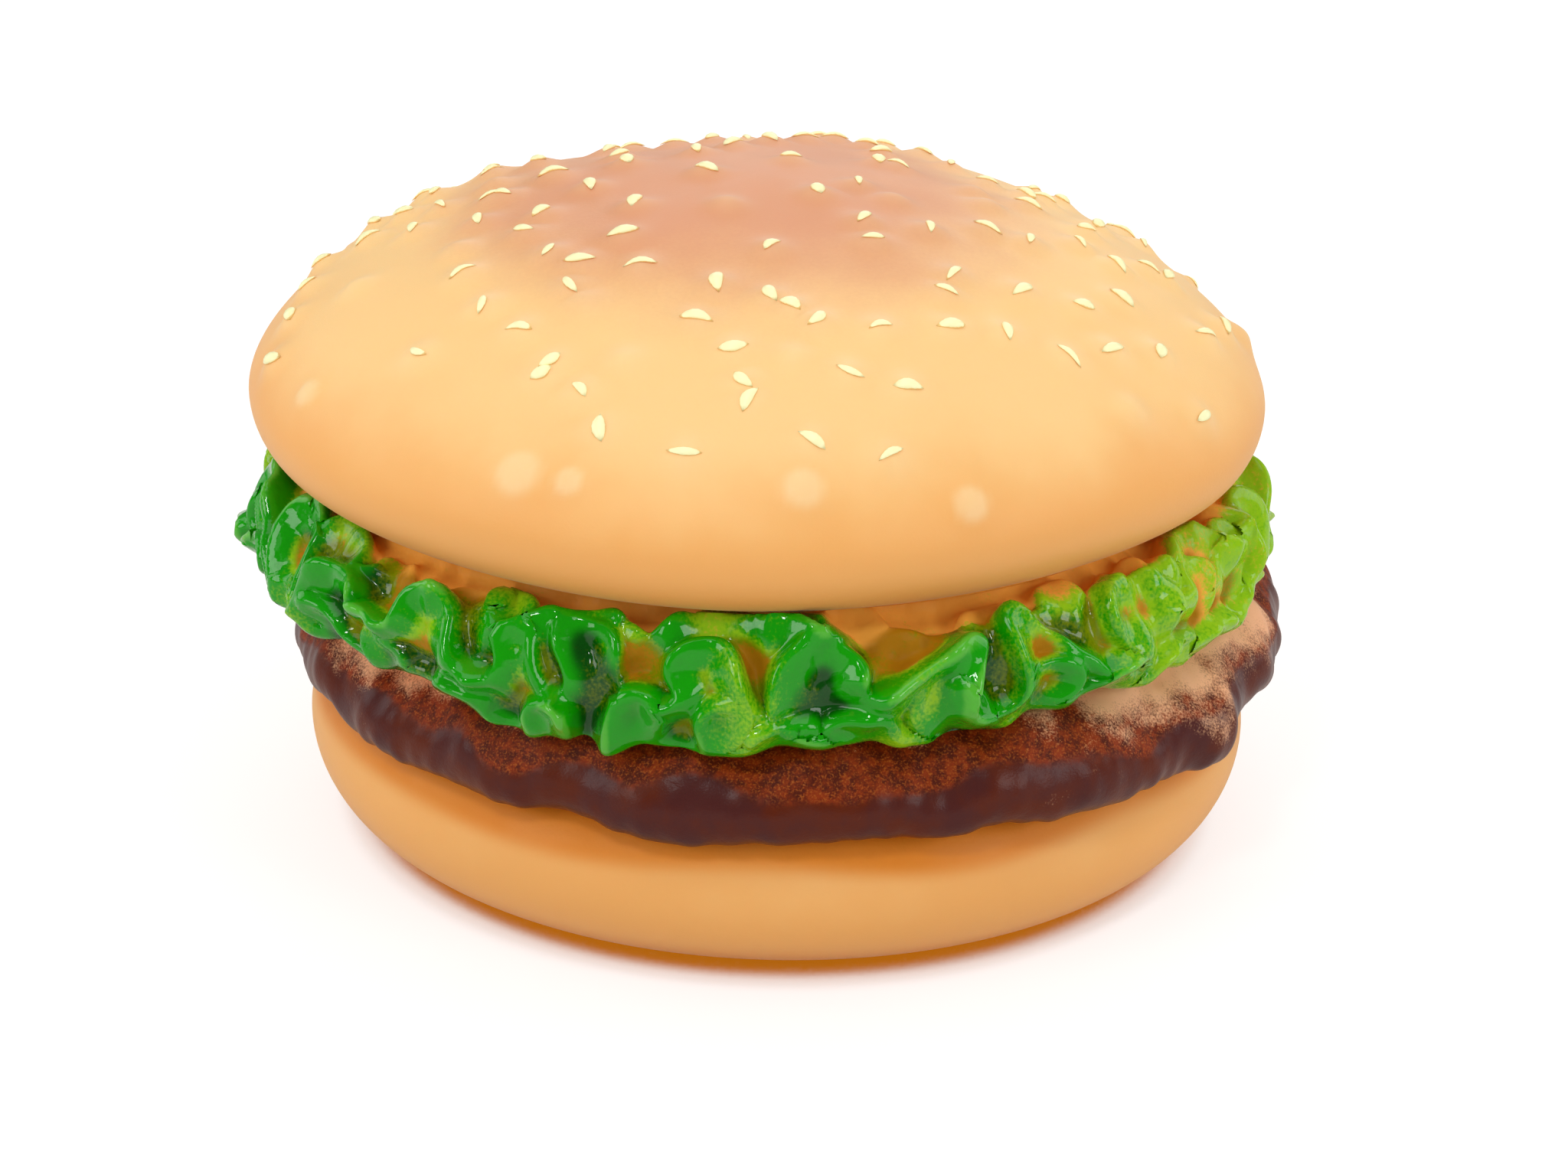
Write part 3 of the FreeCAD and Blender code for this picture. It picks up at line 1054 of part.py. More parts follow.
def make_receiver_frame():
    """Basket of the receiver, open towards the grille."""
    basket = rod(RECEIVER_R, GASKET_TOP_Z, RECEIVER_TOP_Z, 0, RECEIVER_Y)
    bowl = Part.makeCone(RECEIVER_R - 2.0, MAGNET_R - 1.0, RECEIVER_HEIGHT - 1.0,
                         vec(0, RECEIVER_Y, GASKET_TOP_Z))
    return basket.cut(bowl)


def make_receiver_cone():
    """Thin cone of the receiver, just inside its basket."""
    height, wall = RECEIVER_HEIGHT - 1.4, 0.3
    corner = vec(0, RECEIVER_Y, GASKET_TOP_Z)
    outer = Part.makeCone(RECEIVER_R - 2.1, MAGNET_R - 1.2, height, corner)
    return outer.cut(Part.makeCone(RECEIVER_R - 2.1 - wall, MAGNET_R - 1.2 - wall, height - wall, corner))


def make_receiver_magnet():
    """Magnet on the back of the receiver."""
    magnet = rod(MAGNET_R, RECEIVER_TOP_Z, MAGNET_TOP_Z, 0, RECEIVER_Y)
    crown = [e for e in magnet.Edges if e.BoundBox.ZMin > MAGNET_TOP_Z - 1e-6]
    return magnet.makeFillet(0.8, crown)


def make_receiver_clamp():
    """Bar across the magnet, screwed to the panel's two posts."""
    bar = rounded_block(2 * CLAMP_POST_X + 7, 8, 3, MAGNET_TOP_Z, MAGNET_TOP_Z + CLAMP_WALL, 0, RECEIVER_Y)
    return bar.cut([rod(SMALL_SCREW_R + 0.2, 0, FAR, sign * CLAMP_POST_X, RECEIVER_Y) for sign in (-1, 1)])


def make_clamp_screws():
    """Two small screws that hold the clamp bar down."""
    return Part.makeCompound([
        screw(SMALL_SCREW_R, 6.0, SMALL_HEAD_R, SMALL_HEAD_HEIGHT,
              sign * CLAMP_POST_X, RECEIVER_Y, MAGNET_TOP_Z + CLAMP_WALL, up=False)
        for sign in (-1, 1)
    ])


def all_nodes():
    """Every node's name and shape."""
    nodes = {
        "bottom_bun": make_bottom_bun(),
        "rubber_foot": make_rubber_foot(),
        "ballast_plate": make_ballast(),
        "ballast_screws": make_ballast_screws(),
        "patty_ring": make_patty(),
        "lettuce_ring": make_lettuce(),
        "keypad_deck": make_deck(),
        "keypad_mat": make_keypad_mat(),
        "main_board": make_board(),
        "board_components": make_board_components(),
        "board_screws": make_board_screws(),
        "case_screws": make_case_screws(),
        "microphone": make_microphone(),
        "microphone_boot": make_microphone_boot(),
        "hook_plunger": make_hook_plunger(),
        "hook_spring": make_hook_spring(),
        "hook_bracket": make_hook_bracket(),
        "hook_switch": make_hook_switch(),
        "hook_screws": make_hook_screws(),
        "line_jack": make_line_jack(),
        "jack_contacts": make_jack_contacts(),
        "ringer_switch": make_ringer_switch(),
        "ringer_knob": make_ringer_knob(),
        "ringer": make_ringer(),
        "hinge_pin": make_hinge_pin(),
        "lid_bumpers": make_lid_bumpers(),
        "top_bun": make_top_bun(),
        "earpiece_panel": make_earpiece_panel(),
        "hook_pad": make_hook_pad(),
        "lid_screws": make_lid_screws(),
        "receiver_gasket": make_receiver_gasket(),
        "receiver_frame": make_receiver_frame(),
        "receiver_cone": make_receiver_cone(),
        "receiver_magnet": make_receiver_magnet(),
        "receiver_clamp": make_receiver_clamp(),
        "clamp_screws": make_clamp_screws(),
    }
    for name, x, y, depth in key_places():
        nodes["key_" + name] = make_key(x, y, depth)
    return nodes


def main():
    """Builds every node, says its size, and writes its STEP file."""
    os.makedirs("parts", exist_ok=True)
    for name, shape in all_nodes().items():
        solids = shape.Solids
        if not solids or not all(s.isValid() for s in solids):
            raise ValueError(f"{name} is not made of valid solids")
        box = shape.BoundBox
        print(f"{name}: {len(solids)} solid(s), {shape.Volume:.0f} mm3, "
              f"{box.XLength:.1f} x {box.YLength:.1f} x {box.ZLength:.1f}")
        shape.exportStep(f"parts/{name}.step")


if __name__ == "__main__":
    main()
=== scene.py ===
"""Looks of a closed hamburger telephone: vinyl buns, a glossy ruffled leaf and a pressed patty.

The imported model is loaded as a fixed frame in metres, +Z up, with the halves opening towards -Y and
the hinge towards +Y. The four mouldings that make up the outside are rebuilt here as fine surfaces
in the place of their plain nodes. Every other node keeps its shape and gets a finish.
"""

import json
import logging
import math
from dataclasses import dataclass, field
from enum import Enum
from typing import Any, ClassVar

import bmesh
import bpy
import numpy as np
from mathutils import Matrix, Vector


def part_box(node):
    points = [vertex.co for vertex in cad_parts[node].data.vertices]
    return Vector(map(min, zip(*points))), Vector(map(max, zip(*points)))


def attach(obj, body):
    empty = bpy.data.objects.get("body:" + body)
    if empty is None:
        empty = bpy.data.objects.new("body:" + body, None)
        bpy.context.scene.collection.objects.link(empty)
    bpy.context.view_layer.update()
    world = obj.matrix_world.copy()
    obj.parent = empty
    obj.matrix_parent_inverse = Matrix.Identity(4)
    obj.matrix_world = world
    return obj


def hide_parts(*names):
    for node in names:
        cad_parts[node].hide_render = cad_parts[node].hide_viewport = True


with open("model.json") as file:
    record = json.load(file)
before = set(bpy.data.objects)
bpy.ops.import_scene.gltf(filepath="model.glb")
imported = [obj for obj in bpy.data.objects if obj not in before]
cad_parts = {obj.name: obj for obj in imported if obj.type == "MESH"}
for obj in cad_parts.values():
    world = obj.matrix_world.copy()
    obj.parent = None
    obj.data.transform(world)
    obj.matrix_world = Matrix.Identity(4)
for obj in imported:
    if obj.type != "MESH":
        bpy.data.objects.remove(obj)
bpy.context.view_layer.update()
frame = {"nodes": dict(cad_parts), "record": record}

LOG = logging.getLogger("hamburger_telephone")
MM = 0.001
TAU = 2.0 * math.pi
GOLDEN_ANGLE = math.pi * (3.0 - math.sqrt(5.0))
ROUND = (2.0, 2.0)

Array = np.ndarray
Corner = tuple[float, float, float]
Line = tuple[tuple[float, float], ...]
Terms = tuple[tuple[float, int, float, float], ...]
KeyedTerms = tuple[tuple[float, int, int], ...]


# ---- Curves and waves ----

def smooth(low: float, high: float, value: Array) -> Array:
    """Goes from 0 at low to 1 at high in an S shape, and backwards where high is below low."""
    share = np.clip((value - low) / (high - low), 0.0, 1.0)
    return share * share * (3.0 - 2.0 * share)


def bump(distance: Array, width: float) -> Array:
    """A bell curve that is 1 at distance 0 and falls away over about one width."""
    return np.exp(-((distance / width) ** 2))


def bearings(angles: Array) -> Array:
    """Angles as -pi to pi from +X."""
    return (angles + math.pi) % TAU - math.pi


def waves(angle: Array, height: Array, seed: int, count: int, lowest: int, highest: int,
          tilt: float) -> Array:
    """Smooth periodic noise round a ring: a sum of sine waves with whole numbers of turns.

    Args:
        angle: angle round the ring in radians.
        height: place up the ring's side, from 0 to 1.
        seed: which noise it is.
        count: how many waves are added up.
        lowest: fewest turns of a wave round the ring.
        highest: most turns of a wave round the ring.
        tilt: how far a wave's phase moves between height 0 and 1, in turns, at most.

    Returns:
        Values of about -1 to 1, of the shape of angle and height together.
    """
    draw = np.random.default_rng(seed)
    turns = draw.integers(lowest, highest + 1, count)
    phases = draw.uniform(0.0, TAU, count)
    tilts = draw.uniform(-tilt, tilt, count) * TAU
    total = np.zeros(np.broadcast(angle, height).shape)
    for turn, phase, lean in zip(turns, phases, tilts):
        total = total + np.sin(turn * angle + phase + lean * height)
    return total / math.sqrt(count * 0.5) * 0.6


def ripples(terms: Terms, angle: Array, share: Any = 0.0) -> Array:
    """A sum of chosen sine waves round a ring.

    Args:
        terms: each wave's size, its count round the ring, its lean up the side and its start.
        angle: angle round the ring in radians.
        share: place up the ring's side, from 0 to 1.

    Returns:
        Values of the shape of angle and share together, in the sizes' unit.
    """
    total = np.zeros(np.broadcast(angle, share).shape)
    for size, count, lean, start in terms:
        total = total + size * np.sin(count * angle + lean * share + start)
    return total


def peaks(points: Array, places: Array, widths: Array) -> Array:
    """How near points lie to any of some places: 1 at a place, falling away over its width.

    Args:
        points: points of shape (rows, columns, 3).
        places: places of shape (n, 3).
        widths: width of each place.

    Returns:
        Values from 0 to 1, of shape (rows, columns).
    """
    highest = np.zeros(points.shape[:-1])
    for place, width in zip(places, widths):
        highest = np.maximum(highest, bump(np.linalg.norm(points - place, axis=-1), width))
    return highest


def blur(values: Array, passes: int) -> Array:
    """Softens a grid: each pass averages neighbours 1-2-1 round the ring and up its side.

    Args:
        values: grid of shape (rows, columns), whose columns go round the ring.
        passes: how many times it is averaged.

    Returns:
        The softened grid.
    """
    for _ in range(passes):
        values = (np.roll(values, 1, 1) + 2 * values + np.roll(values, -1, 1)) / 4
        padded = np.vstack([values[:1], values, values[-1:]])
        values = (padded[:-2] + 2 * padded[1:-1] + padded[2:]) / 4
    return values


def even_steps(curve: Array, count: int) -> Array:
    """Goes along a line in even steps.

    Args:
        curve: close points of the line, of shape (n, 2).
        count: how many points to give.

    Returns:
        Points evenly spaced by length, of shape (count, 2).
    """
    along = np.concatenate([[0.0], np.cumsum(np.linalg.norm(np.diff(curve, axis=0), axis=1))])
    wanted = np.linspace(0.0, along[-1], count)
    return np.column_stack([np.interp(wanted, along, values) for values in curve.T])


def b_spline(points: Array, count: int) -> Array:
    """Points along a uniform cubic B-spline that starts and ends at its outer control points.

    Args:
        points: control points of shape (n, 2), as (radius, height).
        count: how many points to give, evenly spaced by length.

    Returns:
        An array of shape (count, 2).
    """
    control = np.vstack([2 * points[0] - points[1], points, 2 * points[-1] - points[-2]])
    spans = len(control) - 3
    place = np.linspace(0.0, spans - 1e-9, 40 * spans)
    index = place.astype(int)
    t = (place - index)[:, None]
    curve = (
        (1 - t) ** 3 * control[index]
        + (3 * t ** 3 - 6 * t ** 2 + 4) * control[index + 1]
        + (-3 * t ** 3 + 3 * t ** 2 + 3 * t + 1) * control[index + 2]
        + t ** 3 * control[index + 3]
    ) / 6.0
    return even_steps(curve, count)


def superellipse(centre: tuple[float, float], half_width: float, rise: float,
                 exponents: tuple[float, float], start: float, end: float, count: int) -> Array:
    """Part of a superellipse in the (radius, height) plane, evenly spaced by length.

    A point at angle a lies at half_width * cos(a)^(2/m) and rise * sin(a)^(2/n) from the centre.

    Args:
        centre: radius and height of its centre.
        half_width: reach along the radius.
        rise: reach along the height.
        exponents: m and n, which are 2 and 2 for an ellipse.
        start: first angle in degrees.
        end: last angle in degrees.
        count: how many points to give.

    Returns:
        An array of shape (count, 2).
    """
    angle = np.radians(np.linspace(start, end, 600))
    across, along = np.cos(angle), np.sin(angle)
    curve = np.column_stack([
        centre[0] + half_width * np.sign(across) * np.abs(across) ** (2.0 / exponents[0]),
        centre[1] + rise * np.sign(along) * np.abs(along) ** (2.0 / exponents[1]),
    ])
    return even_steps(curve, count)


def profile_normals(profile: Array) -> Array:
    """Outward directions of a (radius, height) line whose solid lies on its left.

    Args:
        profile: points of the line, of shape (n, 2).

    Returns:
        One direction of length 1 for each point, as (radius, height).
    """
    tangent = np.gradient(profile, axis=0)
    tangent /= np.maximum(np.linalg.norm(tangent, axis=1), 1e-12)[:, None]
    return np.column_stack([tangent[:, 1], -tangent[:, 0]])


def revolve(profile: Array, angles: Array, shift: Any) -> Array:
    """Turns (radius, height) rows round Z and moves the result along X.

    Args:
        profile: radius and height of each point, of shape (rows, 2) or (rows, columns, 2).
        angles: angle of each column in radians.
        shift: how far the axis stands from the origin along X, for all rows or for each of them.

    Returns:
        Points of shape (rows, columns, 3).
    """
    if profile.ndim == 2:
        profile = np.repeat(profile[:, None, :], len(angles), axis=1)
    radius, height = profile[..., 0], profile[..., 1]
    return np.stack([shift + radius * np.cos(angles), radius * np.sin(angles), height], axis=-1)


# ---- Meshes ----

def add_object(name: str, data: bpy.types.ID) -> bpy.types.Object:
    """Adds an object to the scene, unturned at the origin.

    Args:
        name: the object's name.
        data: its mesh, lamp, camera or text.

    Returns:
        The new object.
    """
    thing = bpy.data.objects.new(name, data)
    bpy.context.scene.collection.objects.link(thing)
    return thing


def mesh_object(name: str, points: Array, faces: list[list[int]],
                smooth_shading: bool = True) -> bpy.types.Object:
    """Puts points and faces into a new object at the origin.

    Args:
        name: the piece's name.
        points: vertex places in metres, of shape (n, 3).
        faces: vertex numbers of each face.
        smooth_shading: whether the faces are shaded smooth.

    Returns:
        The new object, linked to the scene.
    """
    mesh = bpy.data.meshes.new(name)
    mesh.from_pydata(points.tolist(), [], faces)
    mesh.polygons.foreach_set("use_smooth", [smooth_shading] * len(mesh.polygons))
    mesh.update()
    return add_object(name, mesh)


def grid_faces(rows: int, columns: int, close_rows: bool, close_columns: bool,
               first: int = 0) -> Array:
    """Four-sided faces of a grid of vertices that are numbered along its columns first.

    Args:
        rows: number of rows.
        columns: number of vertices in a row.
        close_rows: whether the last row joins the first.
        close_columns: whether each row joins end to end.
        first: number of the grid's first vertex.

    Returns:
        Vertex numbers of shape (faces, 4).
    """
    row = np.arange(rows if close_rows else rows - 1)
    column = np.arange(columns if close_columns else columns - 1)
    low, left = np.meshgrid(row, column, indexing="ij")
    high, right = (low + 1) % rows, (left + 1) % columns
    low, high = low * columns, high * columns
    corners = [low + left, low + right, high + right, high + left]
    return first + np.stack(corners, axis=-1).reshape(-1, 4)


def closed_ring(name: str, points: Array) -> bpy.types.Object:
    """A closed ring from a grid that joins end to end both ways, turned so that it faces outwards.

    Args:
        name: the piece's name.
        points: grid of shape (rows, columns, 3); the rows go round the section, up its outer side.

    Returns:
        The new object, with its vertices in the grid's order.
    """
    rows, columns = points.shape[:2]
    return mesh_object(name, points.reshape(-1, 3), grid_faces(rows, columns, True, True).tolist())


def closed_turning(name: str, points: Array) -> bpy.types.Object:
    """A closed skin from a grid whose first and last rows are each a single point on the axis.

    Args:
        name: the piece's name.
        points: grid of shape (rows, columns, 3); the first and last rows hold equal points, and
            the solid lies on the right of the profile that the rows follow.

    Returns:
        The new object. Its vertices are the first pole, the rows between, and the last pole.
    """
    rows, columns = points.shape[:2]
    vertices = np.vstack([points[0, :1], points[1:-1].reshape(-1, 3), points[-1, :1]])
    step = np.arange(columns)
    after = (step + 1) % columns
    last = len(vertices) - 1
    start = 1 + (rows - 3) * columns
    first_fan = np.column_stack([np.zeros(columns, int), 1 + step, 1 + after])
    wall = grid_faces(rows - 2, columns, False, True, 1)[:, ::-1]
    last_fan = np.column_stack([start + after, start + step, np.full(columns, last)])
    return mesh_object(name, vertices, first_fan.tolist() + wall.tolist() + last_fan.tolist())


def block(name: str, low: Corner, high: Corner) -> bpy.types.Object:
    """A plain box that is used only as a cutting tool.

    Args:
        name: the tool's name.
        low: its corner with the lowest x, y and z.
        high: its corner with the highest x, y and z.

    Returns:
        The new object.
    """
    x, y, z = np.meshgrid(*zip(low, high), indexing="ij")
    points = np.column_stack([x.ravel(), y.ravel(), z.ravel()])
    faces = [[0, 1, 3, 2], [4, 6, 7, 5], [0, 4, 5, 1], [2, 3, 7, 6], [0, 2, 6, 4], [1, 5, 7, 3]]
    return mesh_object(name, points, faces, False)


def drum(name: str, radius: float, low: float, high: float, x: float, y: float) -> bpy.types.Object:
    """An upright cylinder that is used only to cut or to join.

    Args:
        name: the tool's name.
        radius: its radius.
        low: height of its floor.
        high: height of its roof.
        x: place of its axis along X.
        y: place of its axis along Y.

    Returns:
        The new object.
    """
    sides = 64
    step = np.arange(sides)
    after = (step + 1) % sides
    angle = step * TAU / sides
    ring = np.column_stack([x + radius * np.cos(angle), y + radius * np.sin(angle)])
    points = np.vstack([
        np.column_stack([ring, np.full(sides, low)]), np.column_stack([ring, np.full(sides, high)]),
        [[x, y, low], [x, y, high]],
    ])
    wall = np.column_stack([step, after, sides + after, sides + step])
    floor = np.column_stack([after, step, np.full(sides, 2 * sides)])
    roof = np.column_stack([sides + step, sides + after, np.full(sides, 2 * sides + 1)])
    return mesh_object(name, points, wall.tolist() + floor.tolist() + roof.tolist(), False)


def combine(piece: bpy.types.Object, tools: list[bpy.types.Object],
            operation: str = "DIFFERENCE") -> None:
    """Cuts, joins or keeps each tool's volume in a closed piece, and deletes the tools.

    Args:
        piece: the closed piece, which is changed.
        tools: closed pieces that are used up.
        operation: DIFFERENCE, UNION or INTERSECT.
    """
    for tool in tools:
        modifier = piece.modifiers.new("combine", "BOOLEAN")
        modifier.operation = operation
        modifier.solver = "MANIFOLD"
        modifier.object = tool
    graph = bpy.context.evaluated_depsgraph_get()
    finished = bpy.data.meshes.new_from_object(piece.evaluated_get(graph))
    piece.modifiers.clear()
    piece.data = finished
    for tool in tools:
        bpy.data.objects.remove(tool)


def merge_points(piece: bpy.types.Object, distance: float) -> None:
    """Joins points of a piece's mesh that lie together, and points its faces outwards.

    Args:
        piece: the piece, which is changed.
        distance: how near points lie that are joined.
    """
    work = bmesh.new()
    work.from_mesh(piece.data)
    bmesh.ops.remove_doubles(work, verts=work.verts, dist=distance)
    bmesh.ops.recalc_face_normals(work, faces=work.faces)
    work.to_mesh(piece.data)
    work.free()


def vertices_of(piece: bpy.types.Object) -> Array:
    """Reads the places of a piece's vertices.

    Args:
        piece: a mesh object.

    Returns:
        Places of shape (n, 3).
    """
    values = np.empty(3 * len(piece.data.vertices), np.float32)
    piece.data.vertices.foreach_get("co", values)
    return values.reshape(-1, 3).astype(float)


def store(piece: bpy.types.Object, **values: Array) -> None:
    """Keeps numbers per vertex in attributes that the piece's material reads.

    Args:
        piece: the piece.
        values: for each attribute's name, one number for each vertex.
    """
    for name, numbers in values.items():
        attribute = piece.data.attributes.new(name, "FLOAT", "POINT")
        attribute.data.foreach_set("value", numbers.astype(np.float32).ravel())


def store_turning(piece: bpy.types.Object, **grids: Array) -> None:
    """Keeps grids of numbers on a skin made by closed_turning, whose poles are single vertices.

    Args:
        piece: the skin.
        grids: for each attribute's name, a grid of shape (rows, columns).
    """
    store(piece, **{
        name: np.concatenate([grid[0, :1], grid[1:-1].ravel(), grid[-1, :1]])
        for name, grid in grids.items()
    })


def dress(piece: bpy.types.Object, body: str, material: bpy.types.Material,
          nodes: tuple[str, ...] = (), crease: float = 0.0) -> None:
    """Gives a piece its finish and its body, and hides the plain nodes that it stands for.

    Args:
        piece: the piece.
        body: the body that carries it.
        material: its finish.
        nodes: the nodes that it replaces.
        crease: angle in degrees from which an edge is shaded sharp, or 0 to leave the edges.
    """
    if crease:
        piece.data.set_sharp_from_angle(angle=math.radians(crease))
    piece.data.materials.clear()
    piece.data.materials.append(material)
    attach(piece, body)
    if nodes:
        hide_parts(*nodes)
    LOG.info("%s: %d faces, rides on %s", piece.name, len(piece.data.polygons), body)


# ---- Materials ----

SMOOTHSTEP = {"interpolation_type": "SMOOTHSTEP"}
COLOURS = {"data_type": "RGBA"}
SHARE, BELOW, ABOVE, MIXED = 0, 6, 7, 2


def linear(hex_colour: str) -> tuple[float, float, float, float]:
    """Turns an sRGB hex colour into the linear colour that shaders use.

    Args:
        hex_colour: a colour such as "#FFD28F".

    Returns:
        Linear red, green, blue and an alpha of one.
    """
    channels = []
    for start in (1, 3, 5):
        value = int(hex_colour[start:start + 2], 16) / 255.0
        channels.append(value / 12.92 if value <= 0.04045 else ((value + 0.055) / 1.055) ** 2.4)
    return (channels[0], channels[1], channels[2], 1.0)


def empty_tree(owner: Any) -> bpy.types.NodeTree:
    """Turns on the nodes of a material or a world.

    Args:
        owner: the material or world.

    Returns:
        Its node tree, emptied.
    """
    owner.use_nodes = True
    owner.node_tree.nodes.clear()
    return owner.node_tree


def add_node(tree: bpy.types.NodeTree, kind: str, inputs: Any = (), output: Any = 0,
             **settings: Any) -> Any:
    """Adds a node with its settings, values and links.

    Args:
        tree: the node tree.
        kind: the node's type name without "ShaderNode".
        inputs: what its inputs get, in their order or by name or number: a value, or another
            node's output to link.
        output: name or number of the output to give back.
        settings: properties of the node itself.

    Returns:
        That output, or None where the node has none.
    """
    node = tree.nodes.new("ShaderNode" + kind)
    for name, value in settings.items():
        setattr(node, name, value)
    for name, value in (inputs.items() if isinstance(inputs, dict) else enumerate(inputs)):
        if isinstance(value, bpy.types.NodeSocket):
            tree.links.new(value, node.inputs[name])
        else:
            node.inputs[name].default_value = value
    return node.outputs[output] if node.outputs else None


def unevenness(tree: bpy.types.NodeTree, noise: bpy.types.NodeSocket,
               amount: float) -> bpy.types.NodeSocket:
    """Turns noise, which stays near 0.5, into a change to add: (noise - 0.5) times amount.

    Args:
        tree: the node tree.
        noise: the noise.
        amount: how strong the change is.

    Returns:
        The change, which stays near 0.
    """
    centred = add_node(tree, "Math", (noise, 0.5), operation="SUBTRACT")
    return add_node(tree, "Math", (centred, amount), operation="MULTIPLY")


class Finish:
    """A finish: a subclass says what its shader's inputs get."""

    name: str

    def inputs(self, tree: bpy.types.NodeTree, place: bpy.types.NodeSocket) -> dict[str, Any]:
        """Works out what the shader's inputs get: a value, or a node's output to link."""
        raise NotImplementedError

    def build(self) -> bpy.types.Material:
        """Builds the finish's material round one Principled shader.

        Returns:
            The material.
        """
        material = bpy.data.materials.new(self.name)
        tree = empty_tree(material)
        place = add_node(tree, "TexCoord", output="Object")
        shader = add_node(tree, "BsdfPrincipled", self.inputs(tree, place))
        add_node(tree, "OutputMaterial", {"Surface": shader})
        return material


class Base(Enum):
    """What a plain moulded, metal or soft finish is made of."""

    PLASTIC = "plastic"
    METAL = "metal"
    RUBBER = "rubber"
    FOAM = "foam"
    BOARD = "board"


SHADER_OF_BASE = {
    Base.PLASTIC: {"IOR": 1.49},
    Base.METAL: {"Metallic": 1.0},
    Base.RUBBER: {"IOR": 1.49},
    Base.FOAM: {"Sheen Weight": 0.2, "IOR": 1.4},
    Base.BOARD: {"Coat Weight": 0.4},
}


@dataclass(frozen=True)
class SimpleFinish(Finish):
    """A finish of one colour with fine grain and faint mottling, for the inner and small pieces.

    Attributes:
        name: what the real finish is, in a maker's words.
        base: what it is made of.
        colour: sRGB hex colour.
        roughness: how dull it is, from 0 to 1.
        grain: width of its surface grain in metres.
        depth: depth of that grain in metres.
        mottle: how far its colour varies, from 0 to 1.
    """

    name: str
    base: Base
    colour: str
    roughness: float
    grain: float
    depth: float
    mottle: float

    def inputs(self, tree: bpy.types.NodeTree, place: bpy.types.NodeSocket) -> dict[str, Any]:
        """Mottles the colour and the gloss together, and adds the grain as relief.

        Args:
            tree: the material's node tree.
            place: the point's place in the object's own coordinates, in metres.

        Returns:
            What the shader's inputs get.
        """
        broad = add_node(tree, "TexNoise", {
            "Vector": place, "Scale": 1.0 / (14 * self.grain), "Detail": 2.0})
        fine = add_node(tree, "TexNoise", {
            "Vector": place, "Scale": 1.0 / self.grain, "Detail": 3.0, "Roughness": 0.6})
        pale = linear(self.colour)
        dark = tuple(channel * (1.0 - 2.0 * self.mottle) for channel in pale[:3]) + (1.0,)
        share = add_node(tree, "MapRange", (broad, 0.35, 0.65), **SMOOTHSTEP)
        gloss = (broad, 0.3, 0.7, self.roughness * 0.9, min(1.0, self.roughness * 1.1))
        return {
            "Base Color": add_node(tree, "Mix", {SHARE: share, BELOW: dark, ABOVE: pale},
                                   MIXED, **COLOURS),
            "Roughness": add_node(tree, "MapRange", gloss, **SMOOTHSTEP),
            "Normal": add_node(tree, "Bump", {"Height": fine, "Distance": self.depth}),
            **SHADER_OF_BASE[self.base],
        }


